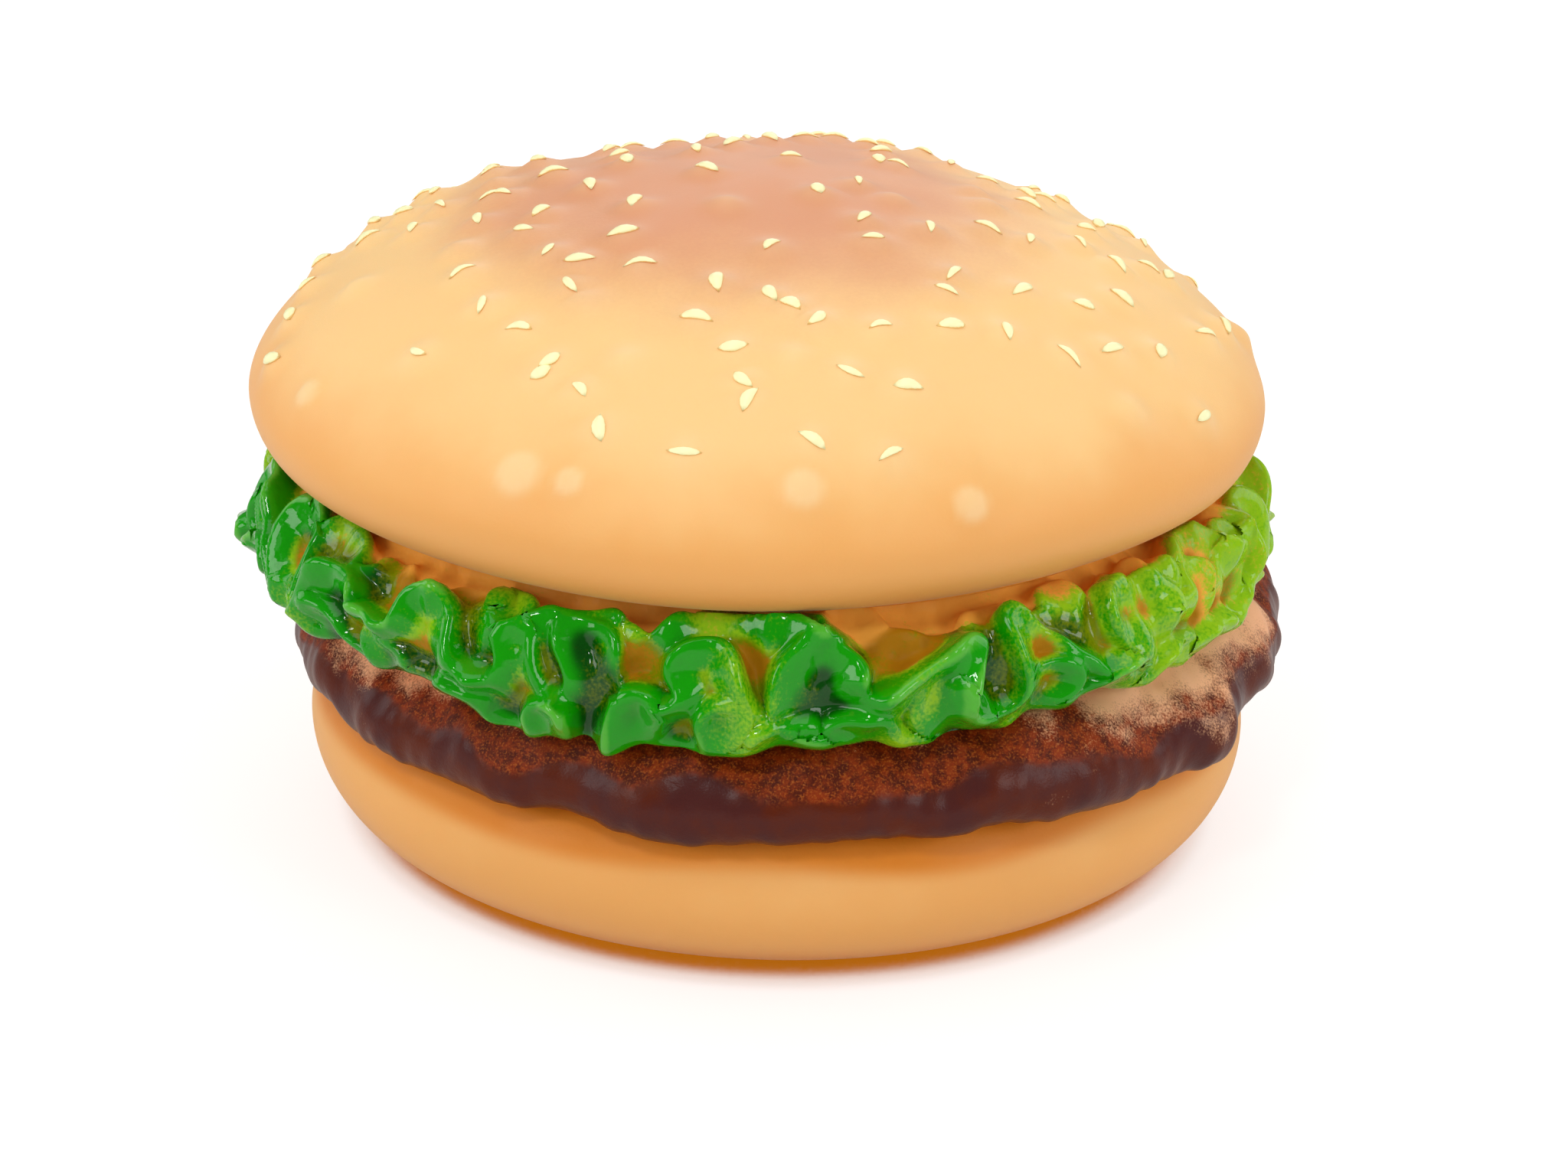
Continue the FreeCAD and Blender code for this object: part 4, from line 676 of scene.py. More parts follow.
@dataclass(frozen=True)
class BunVinyl(Finish):
    """Soft PVC in a bread colour, matt, with an airbrushed brown crown and deeper orange shade.

    The colours change with the attributes that the bun's mesh holds: level, how high up the bread it
    is, crown, where the brown was sprayed, shade, where a deep orange shade is painted under the
    lid's lip, under the patty and along the foot, and swell, on the raised roots of the seeds and on
    the worn lumps. The vinyl is slightly translucent, so it looks warm.
    """

    name: str = "soft_vinyl_bun"
    bread: str = "#FFCF8A"
    lower: str = "#F4B062"
    crown: str = "#E09A70"
    # Painted shade: deep orange under the lid's lip, under the patty and along the foot.
    shade: str = "#E4840A"
    swell: str = "#FFE4B0"
    roughness: float = 0.5
    cloud: float = 16 * MM
    spray: float = 0.5 * MM
    stipple: float = 0.35 * MM
    stipple_depth: float = 0.02 * MM
    glow_depth: float = 2.5 * MM

    def inputs(self, tree: bpy.types.NodeTree, place: bpy.types.NodeSocket) -> dict[str, Any]:
        """Lays bread colour, brown spray, paler swellings and orange shade over each other.

        Args:
            tree: the material's node tree.
            place: the point's place in the object's own coordinates, in metres.

        Returns:
            What the shader's inputs get.
        """
        level, crown, shade, swell = [add_node(tree, "Attribute", output="Fac", attribute_name=name)
                                      for name in ("level", "crown", "shade", "swell")]
        cloud, spray, pores = [
            add_node(tree, "TexNoise", {"Vector": place, "Scale": 1.0 / size, "Detail": detail})
            for size, detail in ((self.cloud, 3.0), (self.spray, 2.0), (self.stipple, 2.0))
        ]
        drift = unevenness(tree, cloud, 0.5)
        height = add_node(tree, "Math", (level, drift), operation="ADD")
        baked = add_node(tree, "MapRange", (height, 0.22, 0.85), **SMOOTHSTEP)
        colour = add_node(tree, "Mix", {
            SHARE: baked, BELOW: linear(self.lower), ABOVE: linear(self.bread)}, MIXED, **COLOURS)
        ragged = add_node(tree, "Math", (drift, unevenness(tree, spray, 0.12)), operation="ADD")
        edge = add_node(tree, "Math", (crown, ragged), operation="ADD")
        browned = add_node(tree, "MapRange", (edge, 0.1, 1.0), **SMOOTHSTEP)
        raised = add_node(tree, "Math", (swell, 0.85), operation="MULTIPLY")
        # The painted shade, made patchy by the cloud, goes on last.
        patchy = add_node(tree, "Math", (drift, shade), operation="MULTIPLY")
        shaded = add_node(tree, "Math", (shade, patchy), operation="ADD")
        for share, sprayed in ((browned, self.crown), (raised, self.swell), (shaded, self.shade)):
            colour = add_node(tree, "Mix", {SHARE: share, BELOW: colour, ABOVE: linear(sprayed)},
                              MIXED, **COLOURS)
        gloss = (cloud, 0.3, 0.7, self.roughness * 0.92, self.roughness * 1.08)
        return {
            "Base Color": colour,
            "Roughness": add_node(tree, "MapRange", gloss, **SMOOTHSTEP),
            "Normal": add_node(tree, "Bump", {"Height": pores, "Distance": self.stipple_depth}),
            "IOR": 1.45, "Specular IOR Level": 0.35, "Sheen Weight": 0.12, "Sheen Roughness": 0.4,
            "Subsurface Weight": 0.12, "Subsurface Radius": (1.0, 0.45, 0.2),
            "Subsurface Scale": self.glow_depth,
        }


@dataclass(frozen=True)
class SeedPaint(Finish):
    """Pale yellow enamel dabbed on the raised seeds, thin at its rim so that the bread shows."""

    name: str = "seed_enamel"
    paint: str = "#FFFCC4"
    rim: str = "#FBD88C"
    roughness: float = 0.32
    dab: float = 0.6 * MM

    def inputs(self, tree: bpy.types.NodeTree, place: bpy.types.NodeSocket) -> dict[str, Any]:
        """Breaks up the enamel's rim where cover, which the seeds' mesh holds, is low.

        Args:
            tree: the material's node tree.
            place: the point's place in the object's own coordinates, in metres.

        Returns:
            What the shader's inputs get.
        """
        cover = add_node(tree, "Attribute", output="Fac", attribute_name="cover")
        dabs = add_node(tree, "TexNoise", {"Vector": place, "Scale": 1.0 / self.dab, "Detail": 3.0})
        broken = add_node(tree, "Math", (cover, unevenness(tree, dabs, 0.7)), operation="ADD")
        share = add_node(tree, "MapRange", (broken, 0.08, 0.3), **SMOOTHSTEP)
        colour = add_node(tree, "Mix", {
            SHARE: share, BELOW: linear(self.rim), ABOVE: linear(self.paint)}, MIXED, **COLOURS)
        return {"Base Color": colour, "Roughness": self.roughness, "IOR": 1.5}


@dataclass(frozen=True)
class LeafPaint(Finish):
    """Wet-looking green lacquer sprayed over orange vinyl: thick, it is a deep glossy green.

    Where the spray is thin it turns yellow-green, and where it missed the vinyl shows. In the hollows
    the lacquer darkens to deep green, the thin spray to olive and the bare vinyl to brown: partly
    pooled lacquer and overspray, partly painted shade. The mesh holds cover, how thick the lacquer
    lies, the depth of each hollow, and crest, where a fold's edge stands out; its paler green there
    is partly lacquer thinned at the edge and partly a painted highlight. The gloss is a clear coat
    over a duller colour.
    """

    name: str = "leaf_lacquer"
    green: str = "#109C00"
    # Painted shade and pooled lacquer: the darker green in the hollows.
    deep: str = "#004C00"
    # Painted highlight and lacquer thinned at the edge: the paler green on the crests.
    edge: str = "#66C43C"
    thin: str = "#92C614"
    # Painted shade and overspray: the thin spray turns olive in the hollows.
    olive: str = "#7A8A00"
    bare: str = "#F6AE46"
    # Painted shade and overspray: the bare vinyl turns brown in the hollows.
    stain: str = "#B27A10"
    roughness: float = 0.12
    cloud: float = 5 * MM
    speck: float = 0.4 * MM
    run: float = 2.0 * MM
    run_depth: float = 0.34 * MM

    def inputs(self, tree: bpy.types.NodeTree, place: bpy.types.NodeSocket) -> dict[str, Any]:
        """Lays bare vinyl, thin spray and thick lacquer over each other by how much was laid.

        Args:
            tree: the material's node tree.
            place: the point's place in the object's own coordinates, in metres.

        Returns:
            What the shader's inputs get.
        """
        cover, pool, crest = [add_node(tree, "Attribute", output="Fac", attribute_name=name)
                              for name in ("cover", "pool", "crest")]
        cloud, speck, runs = [
            add_node(tree, "TexNoise", {
                "Vector": place, "Scale": 1.0 / size, "Detail": detail, "Roughness": roughness})
            for size, detail, roughness in (
                (self.cloud, 4.0, 0.5), (self.speck, 2.0, 0.5), (self.run, 2.0, 0.4))
        ]
        drift = unevenness(tree, cloud, 0.5)
        depth = add_node(tree, "Math", (pool, drift), operation="ADD")
        ridge = add_node(tree, "Math", (crest, drift), operation="ADD")
        grainy = add_node(tree, "Math", (drift, unevenness(tree, speck, 0.5)), operation="ADD")
        laid = add_node(tree, "Math", (cover, grainy), operation="ADD")
        # The hollows' depth darkens the lacquer, the thin spray and the bare vinyl, as pooled
        # lacquer, overspray and painted shade; the crests lighten it, as thinned lacquer and a
        # painted highlight.
        deep, edge, olive, stain, thin, thick = [
            add_node(tree, "MapRange", values, **SMOOTHSTEP) for values in (
                (depth, 0.2, 0.9), (ridge, 0.35, 1.0, 0.0, 0.6), (depth, 0.25, 0.75),
                (depth, 0.2, 0.7), (laid, 0.08, 0.4), (laid, 0.42, 0.78))
        ]
        pooled, spray, vinyl = [
            add_node(tree, "Mix", {SHARE: share, BELOW: linear(pale), ABOVE: linear(dark)},
                     MIXED, **COLOURS)
            for share, pale, dark in ((deep, self.green, self.deep), (olive, self.thin, self.olive),
                                      (stain, self.bare, self.stain))
        ]
        lacquer = add_node(tree, "Mix", {SHARE: edge, BELOW: pooled, ABOVE: linear(self.edge)},
                           MIXED, **COLOURS)
        colour = add_node(tree, "Mix", {SHARE: thin, BELOW: vinyl, ABOVE: spray}, MIXED, **COLOURS)
        gloss = (laid, 0.1, 0.6, 0.4, self.roughness)
        return {
            "Base Color": add_node(tree, "Mix", {SHARE: thick, BELOW: colour, ABOVE: lacquer},
                                   MIXED, **COLOURS),
            "Roughness": add_node(tree, "MapRange", gloss, **SMOOTHSTEP),
            "Normal": add_node(tree, "Bump", {"Height": runs, "Distance": self.run_depth}),
            "IOR": 1.45, "Specular IOR Level": 0.08, "Coat Roughness": 0.04,
            "Coat Weight": add_node(tree, "MapRange", (laid, 0.2, 0.6, 0.0, 0.7), **SMOOTHSTEP),
        }


@dataclass(frozen=True)
class PattyPaint(Finish):
    """Brown lacquer on the patty: plum-brown and glossy below, dry and finely speckled above.

    The mesh holds gloss, where the wet lacquer lies, bare, where the spray thins out to the bread
    colour, and brim, along the lower edge, whose red-brown is painted bounce light from the bun.
    """

    name: str = "patty_lacquer"
    wet: str = "#5E220C"
    plum: str = "#4E221F"
    dry: str = "#8C3000"
    dark: str = "#541600"
    rust: str = "#B86420"
    # Painted bounce light: the red-brown on the lower edge, lit from the bun.
    run: str = "#863606"
    bare: str = "#F4B68A"
    roughness: float = 0.3
    cloud: float = 7 * MM
    patch: float = 4.5 * MM
    blotch: float = 1.5 * MM
    grain: float = 0.26 * MM
    relief: float = 0.07 * MM

    def inputs(self, tree: bpy.types.NodeTree, place: bpy.types.NodeSocket) -> dict[str, Any]:
        """Lays speckled dry spray, wet lacquer, the brim's run and bare vinyl over each other.

        Args:
            tree: the material's node tree.
            place: the point's place in the object's own coordinates, in metres.

        Returns:
            What the shader's inputs get.
        """
        gloss, bare, brim = [add_node(tree, "Attribute", output="Fac", attribute_name=name)
                             for name in ("gloss", "bare", "brim")]
        cloud, blotch, grain, patch = [
            add_node(tree, "TexNoise", {
                "Vector": place, "Scale": 1.0 / size, "Detail": detail, "Roughness": roughness})
            for size, detail, roughness in ((self.cloud, 4.0, 0.5), (self.blotch, 3.0, 0.6),
                                            (self.grain, 2.0, 0.6), (self.patch, 2.0, 0.5))
        ]
        drift, speckle = unevenness(tree, cloud, 0.7), unevenness(tree, grain, 0.9)
        faint, fainter, pits = [
            add_node(tree, "Math", (value, scale), operation="MULTIPLY")
            for value, scale in ((speckle, 0.4), (speckle, 0.3), (grain, 0.3))
        ]
        crumbs, ragged, height, specks = [
            add_node(tree, "Math", pair, operation="ADD")
            for pair in ((blotch, faint), (drift, fainter), (blotch, pits), (bare, speckle))
        ]
        edge = add_node(tree, "Math", (gloss, ragged), operation="ADD")
        sparse = add_node(tree, "Math", (specks, unevenness(tree, patch, 1.2)), operation="ADD")
        laid, mealy, rusty, plummy, thin = [
            add_node(tree, "MapRange", values, **SMOOTHSTEP) for values in (
                (edge, 0.3, 0.7), (crumbs, 0.35, 0.65), (grain, 0.5, 0.7, 0.0, 0.5),
                (cloud, 0.35, 0.65), (sparse, 0.3, 0.95))
        ]
        dry, wet = [
            add_node(tree, "Mix", {SHARE: share, BELOW: linear(first), ABOVE: linear(second)},
                     MIXED, **COLOURS)
            for share, first, second in ((mealy, self.dark, self.dry), (plummy, self.wet, self.plum))
        ]
        colour = add_node(tree, "Mix", {SHARE: rusty, BELOW: dry, ABOVE: linear(self.rust)},
                          MIXED, **COLOURS)
        # brim lays the painted bounce light on the lower edge.
        for share, sprayed in ((laid, wet), (brim, linear(self.run)), (thin, linear(self.bare))):
            colour = add_node(tree, "Mix", {SHARE: share, BELOW: colour, ABOVE: sprayed},
                              MIXED, **COLOURS)
        sheen = (laid, 0.0, 1.0, 0.55, self.roughness)
        return {
            "Base Color": colour,
            "Roughness": add_node(tree, "MapRange", sheen, **SMOOTHSTEP),
            "Normal": add_node(tree, "Bump", {"Height": height, "Distance": self.relief}),
            "IOR": 1.5, "Specular IOR Level": 0.17,
        }


# ---- Outer mouldings ----

@dataclass(frozen=True)
class SeedGroup:
    """A patch of seeds on the dome.

    Attributes:
        bearing: direction from the dome's axis in degrees, from +X towards +Y.
        reach: distance from the axis as a share of the dome's radius.
        count: how many seeds it has.
        pitch: spacing of the seeds in millimetres.
    """

    bearing: float
    reach: float
    count: int
    pitch: float


@dataclass(frozen=True)
class Lump:
    """A low unpainted swelling, where a seed's mould is worn.

    Attributes:
        bearing: direction from the dome's axis in degrees, from +X towards +Y.
        reach: distance from the axis as a share of the dome's radius.
        width: its width in millimetres.
    """

    bearing: float
    reach: float
    width: float


SEED_GROUPS = (
    SeedGroup(60, 0.05, 9, 7.4), SeedGroup(165, 0.70, 10, 4.4), SeedGroup(-172, 0.50, 5, 5.2),
    SeedGroup(-139, 0.46, 6, 5.4), SeedGroup(-127, 0.66, 5, 4.8), SeedGroup(-138, 0.79, 1, 3.0),
    SeedGroup(-98, 0.43, 4, 6.2), SeedGroup(-84, 0.66, 8, 4.2), SeedGroup(-112, 0.77, 3, 3.6),
    SeedGroup(-97, 0.84, 3, 6.4), SeedGroup(-74, 0.85, 3, 5.4), SeedGroup(-34, 0.34, 6, 5.6),
    SeedGroup(5, 0.60, 8, 4.8), SeedGroup(-34, 0.76, 9, 4.4), SeedGroup(-57, 0.62, 2, 4.0),
    SeedGroup(-6, 0.86, 5, 5.0), SeedGroup(44, 0.48, 8, 5.8), SeedGroup(94, 0.52, 9, 6.2),
    SeedGroup(132, 0.42, 7, 5.8), SeedGroup(70, 0.82, 7, 5.6), SeedGroup(146, 0.86, 5, 5.2),
    SeedGroup(28, 0.80, 6, 5.2), SeedGroup(-170, 0.86, 4, 5.4),
)
LUMPS = (
    Lump(-115, 0.95, 3.0), Lump(-109, 0.95, 1.9), Lump(-84, 0.94, 2.6),
    Lump(-66, 0.97, 2.4), Lump(-150, 0.95, 2.0), Lump(60, 0.96, 2.8),
)


@dataclass
class TopBun:
    """The domed lid: its shell with swellings and worn lumps, and the painted seeds on it."""

    radius: float = 62.0 * MM
    top: float = 81.0 * MM
    belly_rise: float = 8.5 * MM
    lip_width: float = 9.0 * MM
    wall: float = 2.4 * MM
    crown: float = 1.70
    shoulder: float = 1.75
    columns: int = 400
    dome_rows: int = 150
    dent: float = 0.55 * MM
    worn_rise: float = 0.7 * MM
    seed_root: float = 2.3 * MM
    seed_swell: float = 1.05 * MM
    seed_lift: float = 0.1 * MM
    farthest_seed: float = 0.955
    seed_rows: int = 7
    seed_columns: int = 10
    ear_near: float = 15.8 * MM
    ear_far: float = 24.8 * MM
    ear_roof: float = 50.3 * MM
    lip: float = field(init=False)
    belly: float = field(init=False)

    def __post_init__(self) -> None:
        """Reads the lip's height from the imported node."""
        self.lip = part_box("top_bun")[0].z
        self.belly = self.lip + self.belly_rise

    def build(self, vinyl: bpy.types.Material, enamel: bpy.types.Material) -> None:
        """Builds the shell and its seeds, and cuts the notches for the hinge's two ears.

        Args:
            vinyl: the shell's finish.
            enamel: the seeds' finish.
        """
        shell = self.shell()
        sides = ((-self.ear_far, -self.ear_near), (self.ear_near, self.ear_far))
        combine(shell, [
            block("ear_notch", (left, 45.0 * MM, 40.0 * MM), (right, 80.0 * MM, self.ear_roof))
            for left, right in sides
        ])
        dress(shell, "lid", vinyl, ("top_bun",), 40)
        dress(self.seeds(), "lid", enamel)

    def height(self, radius: Array) -> Array:
        """The dome's height at a distance from its axis: a superellipse."""
        share = 1.0 - np.clip(radius / self.radius, 0.0, 1.0) ** self.crown
        return self.belly + (self.top - self.belly) * share ** (1.0 / self.shoulder)

    def on_dome(self, x: float, y: float) -> list[float]:
        """The dome's point over x and y."""
        return [x, y, float(self.height(np.array(math.hypot(x, y))))]

    def seed_places(self) -> tuple[Array, Array, Array]:
        """Where the seeds stand: each group is a small spiral of golden-angle steps.

        Returns:
            Places of shape (n, 3), turns in radians and lengths in metres.
        """
        places = []
        for group in SEED_GROUPS:
            bearing = math.radians(group.bearing)
            centre = group.reach * self.radius * np.array([math.cos(bearing), math.sin(bearing)])
            for step in range(group.count):
                spread = group.pitch * MM * math.sqrt(step + 0.3)
                angle = bearing + step * GOLDEN_ANGLE
                x, y = centre + spread * np.array([math.cos(angle), math.sin(angle)])
                inwards = min(1.0, self.farthest_seed * self.radius / math.hypot(x, y))
                places.append(self.on_dome(x * inwards, y * inwards))
        number = np.arange(len(places))
        return np.array(places), 2.4 * number, (2.9 + 1.3 * np.sin(1.7 * number) ** 2) * MM

    def dents(self, angle: Array, share: Array) -> Array:
        """How far the skin's soft dents move it outwards, at a share of the dome's radius."""
        return self.dent * waves(angle, share * 2.0, 4, 7, 1, 5, 0.5) * smooth(0.0, 0.5, share)

    def normals(self, places: Array) -> Array:
        """Outward directions of the plain dome at places on it.

        Args:
            places: places of shape (n, 3).

        Returns:
            Directions of length 1, of shape (n, 3).
        """
        distance = np.hypot(places[:, 0], places[:, 1])
        step = 0.05 * MM
        slope = (self.height(distance + step) - self.height(distance - step)) / (2 * step)
        outward = places[:, :2] / np.maximum(distance, 1e-9)[:, None]
        normal = np.column_stack([-slope[:, None] * outward, np.ones(len(places))])
        return normal / np.linalg.norm(normal, axis=1)[:, None]

    def outline(self) -> tuple[Array, int, int]:
        """The shell's section, from the crown round the lip to the hollow's roof.

        Returns:
            Its (radius, height) rows, how many of them are the dome, and how many the outside.
        """
        flat = self.radius - self.lip_width
        bends = (self.crown, self.shoulder)
        dome = superellipse((0.0, self.belly), self.radius, self.top - self.belly, bends,
                            90, 0, self.dome_rows)
        lip = superellipse((flat, self.belly), self.lip_width, self.belly - self.lip, ROUND,
                           0, -90, 26)[1:]
        inside = superellipse((0.0, self.belly), flat, self.top - self.belly - self.wall, bends,
                              0, 90, 22)
        dome[0, 0] = inside[-1, 0] = 0.0
        return np.vstack([dome, lip, inside]), len(dome), len(dome) + len(lip)

    def shell(self) -> bpy.types.Object:
        """The closed shell: a revolved outline, pushed out along its normals by soft swellings.

        Returns:
            The shell, with the attributes that its finish reads.
        """
        profile, dome_rows, rows = self.outline()
        angles = np.arange(self.columns) * TAU / self.columns
        points = revolve(profile, angles, 0.0)
        outward = revolve(-profile_normals(profile[:rows]), angles, 0.0)
        share = np.clip(profile[:rows, 0:1] / self.radius, 0.0, 1.0)
        calm = 1.0 - smooth(dome_rows + 8, rows, np.arange(rows))[:, None]
        seeds = self.seed_places()[0]
        roots = peaks(points[:rows], seeds, np.full(len(seeds), self.seed_root))
        places = [self.on_dome(lump.reach * self.radius * math.cos(math.radians(lump.bearing)),
                               lump.reach * self.radius * math.sin(math.radians(lump.bearing)))
                  for lump in LUMPS]
        worn = peaks(points[:rows], np.array(places), np.array([lump.width * MM for lump in LUMPS]))
        rise = self.dents(angles[None, :], share) + self.seed_swell * roots + self.worn_rise * worn
        points[:rows] += outward * (rise * calm)[..., None]

        height = points[..., 2]
        lean = 1.2 * MM * np.cos(angles - math.radians(150))
        browned = smooth(self.belly + 0.54 * (self.top - self.belly), self.top, height + lean)
        browned[rows:] = 0.0
        swell = np.zeros(height.shape)
        swell[:rows] = np.maximum(0.25 * roots, 0.5 * smooth(0.25, 0.75, worn))
        piece = closed_turning("top_bun_skin", points)
        # shade is painted shade: deep orange on the underside of the lip, which faces down towards
        # the lettuce.
        store_turning(
            piece, crown=browned, swell=swell,
            level=smooth(self.lip, self.belly + 0.75 * (self.top - self.belly), height),
            shade=0.55 * (1.0 - smooth(self.lip + 0.2 * MM, self.belly - 1.6 * MM, height)),
        )
        return piece

    def seeds(self) -> bpy.types.Object:
        """The painted seeds: each is a drop, pointed at one end, lying on the dome's surface.

        A drop's half width at a share t of its length is sin(pi t)^0.75 times a taper towards
        t = 1. Its middle line is bent sideways by a multiple of sin(pi t) - 0.5, and it follows the
        swelling of its root. One seed in nine has lost its paint and is left to the shell.

        Returns:
            All seeds as one piece, with the attribute that their finish reads.
        """
        places, turns, lengths = self.seed_places()
        share = np.hypot(places[:, 0], places[:, 1]) / self.radius
        lift = self.dents(np.arctan2(places[:, 1], places[:, 0]), share) + self.seed_lift
        number = np.flatnonzero(np.arange(len(places)) % 9 != 4)
        normal = self.normals(places)[number]
        heading = np.column_stack([np.cos(turns), np.sin(turns), 0.0 * turns])
        side = np.cross(normal, heading[number])
        side /= np.linalg.norm(side, axis=1)[:, None]
        ahead = np.cross(side, normal)
        centre = places[number] + normal * lift[number, None]

        t = np.linspace(0.0, 1.0, self.seed_rows)[:, None]
        around = (np.arange(self.seed_columns) * TAU / self.seed_columns)[None, :]
        width = np.sin(np.pi * t) ** 0.75 * (1.0 - 0.35 * t)
        width[0], width[-1] = 0.0, 0.0
        each = number[:, None, None]
        half = (0.85 + 0.25 * np.sin(2.3 * each)) * MM
        bend = 0.4 * MM * np.sin(3.1 * each) ** 3 * (np.sin(np.pi * t) - 0.5)
        forward = (t - 0.5) * lengths[each] + 0.0 * around
        across = width * np.cos(around) * half + bend
        root = self.seed_swell * bump(np.hypot(forward, across), self.seed_root)
        up = width * np.sin(around) * 0.4 * half + root
        points = centre[:, None, None, :] + sum(
            distance[..., None] * direction[:, None, None, :]
            for distance, direction in ((forward, ahead), (across, side), (up, normal))
        )
        size = self.seed_rows * self.seed_columns
        faces = [grid_faces(self.seed_rows, self.seed_columns, False, True, first)
                 for first in range(0, len(number) * size, size)]
        piece = mesh_object("sesame_seeds", points.reshape(-1, 3), np.vstack(faces).tolist())
        store(piece, cover=np.broadcast_to(np.sin(around), up.shape))
        merge_points(piece, 0.002 * MM)
        return piece


@dataclass(frozen=True)
class Rim:
    """A leaf's edge that meanders up and down round the ring in loops wider than their necks.

    Its line is h = centre + swing cos(p), s = girth a / 2 pi + overhang sin(2 p), where a is the
    angle, s the distance round the ring, h the distance up the frill's side and p = loops a plus a
    wander; the wander, the swing and the rest change slowly round the ring as sums of sine waves.

    Attributes:
        centre: height of its middle up the frill's side.
        swing: how far it goes up and down from there.
        loops: how many loops it has round the ring.
        overhang: how far a loop is wider than its neck.
        fade: how much its strength changes round the ring, from 0 to 1.
        key: start of all its waves in radians, so that no two edges are alike.
        samples: points in a loop.
    """

    centre: float
    swing: float
    loops: int
    overhang: float
    fade: float
    key: float
    samples: int = 44

    WANDER: ClassVar[KeyedTerms] = ((0.9, 3, 1), (0.8, 5, 2), (0.6, 8, 3))
    SWINGS: ClassVar[KeyedTerms] = ((0.40, 7, 2), (0.30, 11, 5))
    CENTRES: ClassVar[KeyedTerms] = ((1.0, 4, 3), (0.8, 9, 1))
    NECKS: ClassVar[KeyedTerms] = ((0.5, 6, 1),)
    SWAY: ClassVar[KeyedTerms] = ((0.7, 13, 4), (0.5, 19, 2), (0.5, 37, 3), (0.35, 61, 1))
    KINKS: ClassVar[KeyedTerms] = ((0.45, 43, 2), (0.35, 71, 4))
    SLANT: ClassVar[KeyedTerms] = ((0.5, 6, 3), (0.4, 10, 1))
    FADING: ClassVar[KeyedTerms] = ((0.3, 5, 7), (0.2, 12, 3))
    KNOBS: ClassVar[KeyedTerms] = ((0.10, 53, 5), (0.10, 83, 2))

    def ripple(self, terms: KeyedTerms, angle: Array) -> Array:
        """A sum of sine waves, each of a size, a count and a start as a multiple of the key."""
        return sum(size * np.sin(count * angle + start * self.key) for size, count, start in terms)

    def line(self, girth: float) -> tuple[Array, Array, Array]:
        """The edge's points.

        Args:
            girth: distance round the ring in metres.

        Returns:
            s and h of each point, and how strongly the edge stands out there, from 0 to 1.
        """
        a = np.arange(self.loops * self.samples) * TAU / (self.loops * self.samples)
        phase = self.loops * a + self.ripple(self.WANDER, a)
        swing = self.swing * (1.0 + self.ripple(self.SWINGS, a)) * np.cos(phase)
        overhang = self.overhang * (1.0 + self.ripple(self.NECKS, a)) * np.sin(2.0 * phase)
        along = girth * a / TAU + overhang + self.ripple(self.SLANT, a) * swing
        along += MM * self.ripple(self.SWAY, a)
        height = self.centre + swing + MM * self.ripple(self.CENTRES + self.KINKS, a)
        strength = 1.0 - self.fade * (0.5 - self.ripple(self.FADING, a))
        return along, height, strength * (1.0 + self.ripple(self.KNOBS, a))

    def nearest(self, around: Array, up: Array, girth: float) -> tuple[Array, ...]:
        """Finds the nearest point of the edge for every point of a grid.

        Args:
            around: distance round the ring of each column, from 0 to girth.
            up: distance up the frill's side of each row.
            girth: distance round the ring.

        Returns:
            The distance, the edge's own sideways direction there along s and h, its strength, and
            how far the point lies to its left, all of shape (rows, columns).
        """
        along, height, strength = self.line(girth)
        count = len(along)
        ahead_s = np.roll(along, -1) - np.roll(along, 1)
        ahead_s[[0, -1]] += girth
        ahead_h = np.roll(height, -1) - np.roll(height, 1)
        length = np.hypot(ahead_s, ahead_h)
        side_s, side_h = -ahead_h / length, ahead_s / length
        reach = int(1.3 * self.samples)
        start = np.round(around / girth * count).astype(int)
        window = start[:, None] + np.arange(-reach, reach + 1)[None, :]
        wrap = np.floor_divide(window, count)
        pick = window - wrap * count
        ds = along[pick] + wrap * girth - around[:, None]
        dh = height[pick][None, :, :] - up[:, None, None]
        best = np.argmin(ds[None, :, :] ** 2 + dh ** 2, axis=2)
        column = np.arange(len(around))[None, :]
        found = pick[column, best]
        off_s, off_h = ds[column, best], np.take_along_axis(dh, best[..., None], axis=2)[..., 0]
        left = -(off_s * side_s[found] + off_h * side_h[found])
        past = np.abs(off_s * side_h[found] - off_h * side_s[found]) - 0.25 * length[found]
        distance = np.hypot(left, np.maximum(past, 0.0))
        return distance, side_s[found], side_h[found], strength[found], left


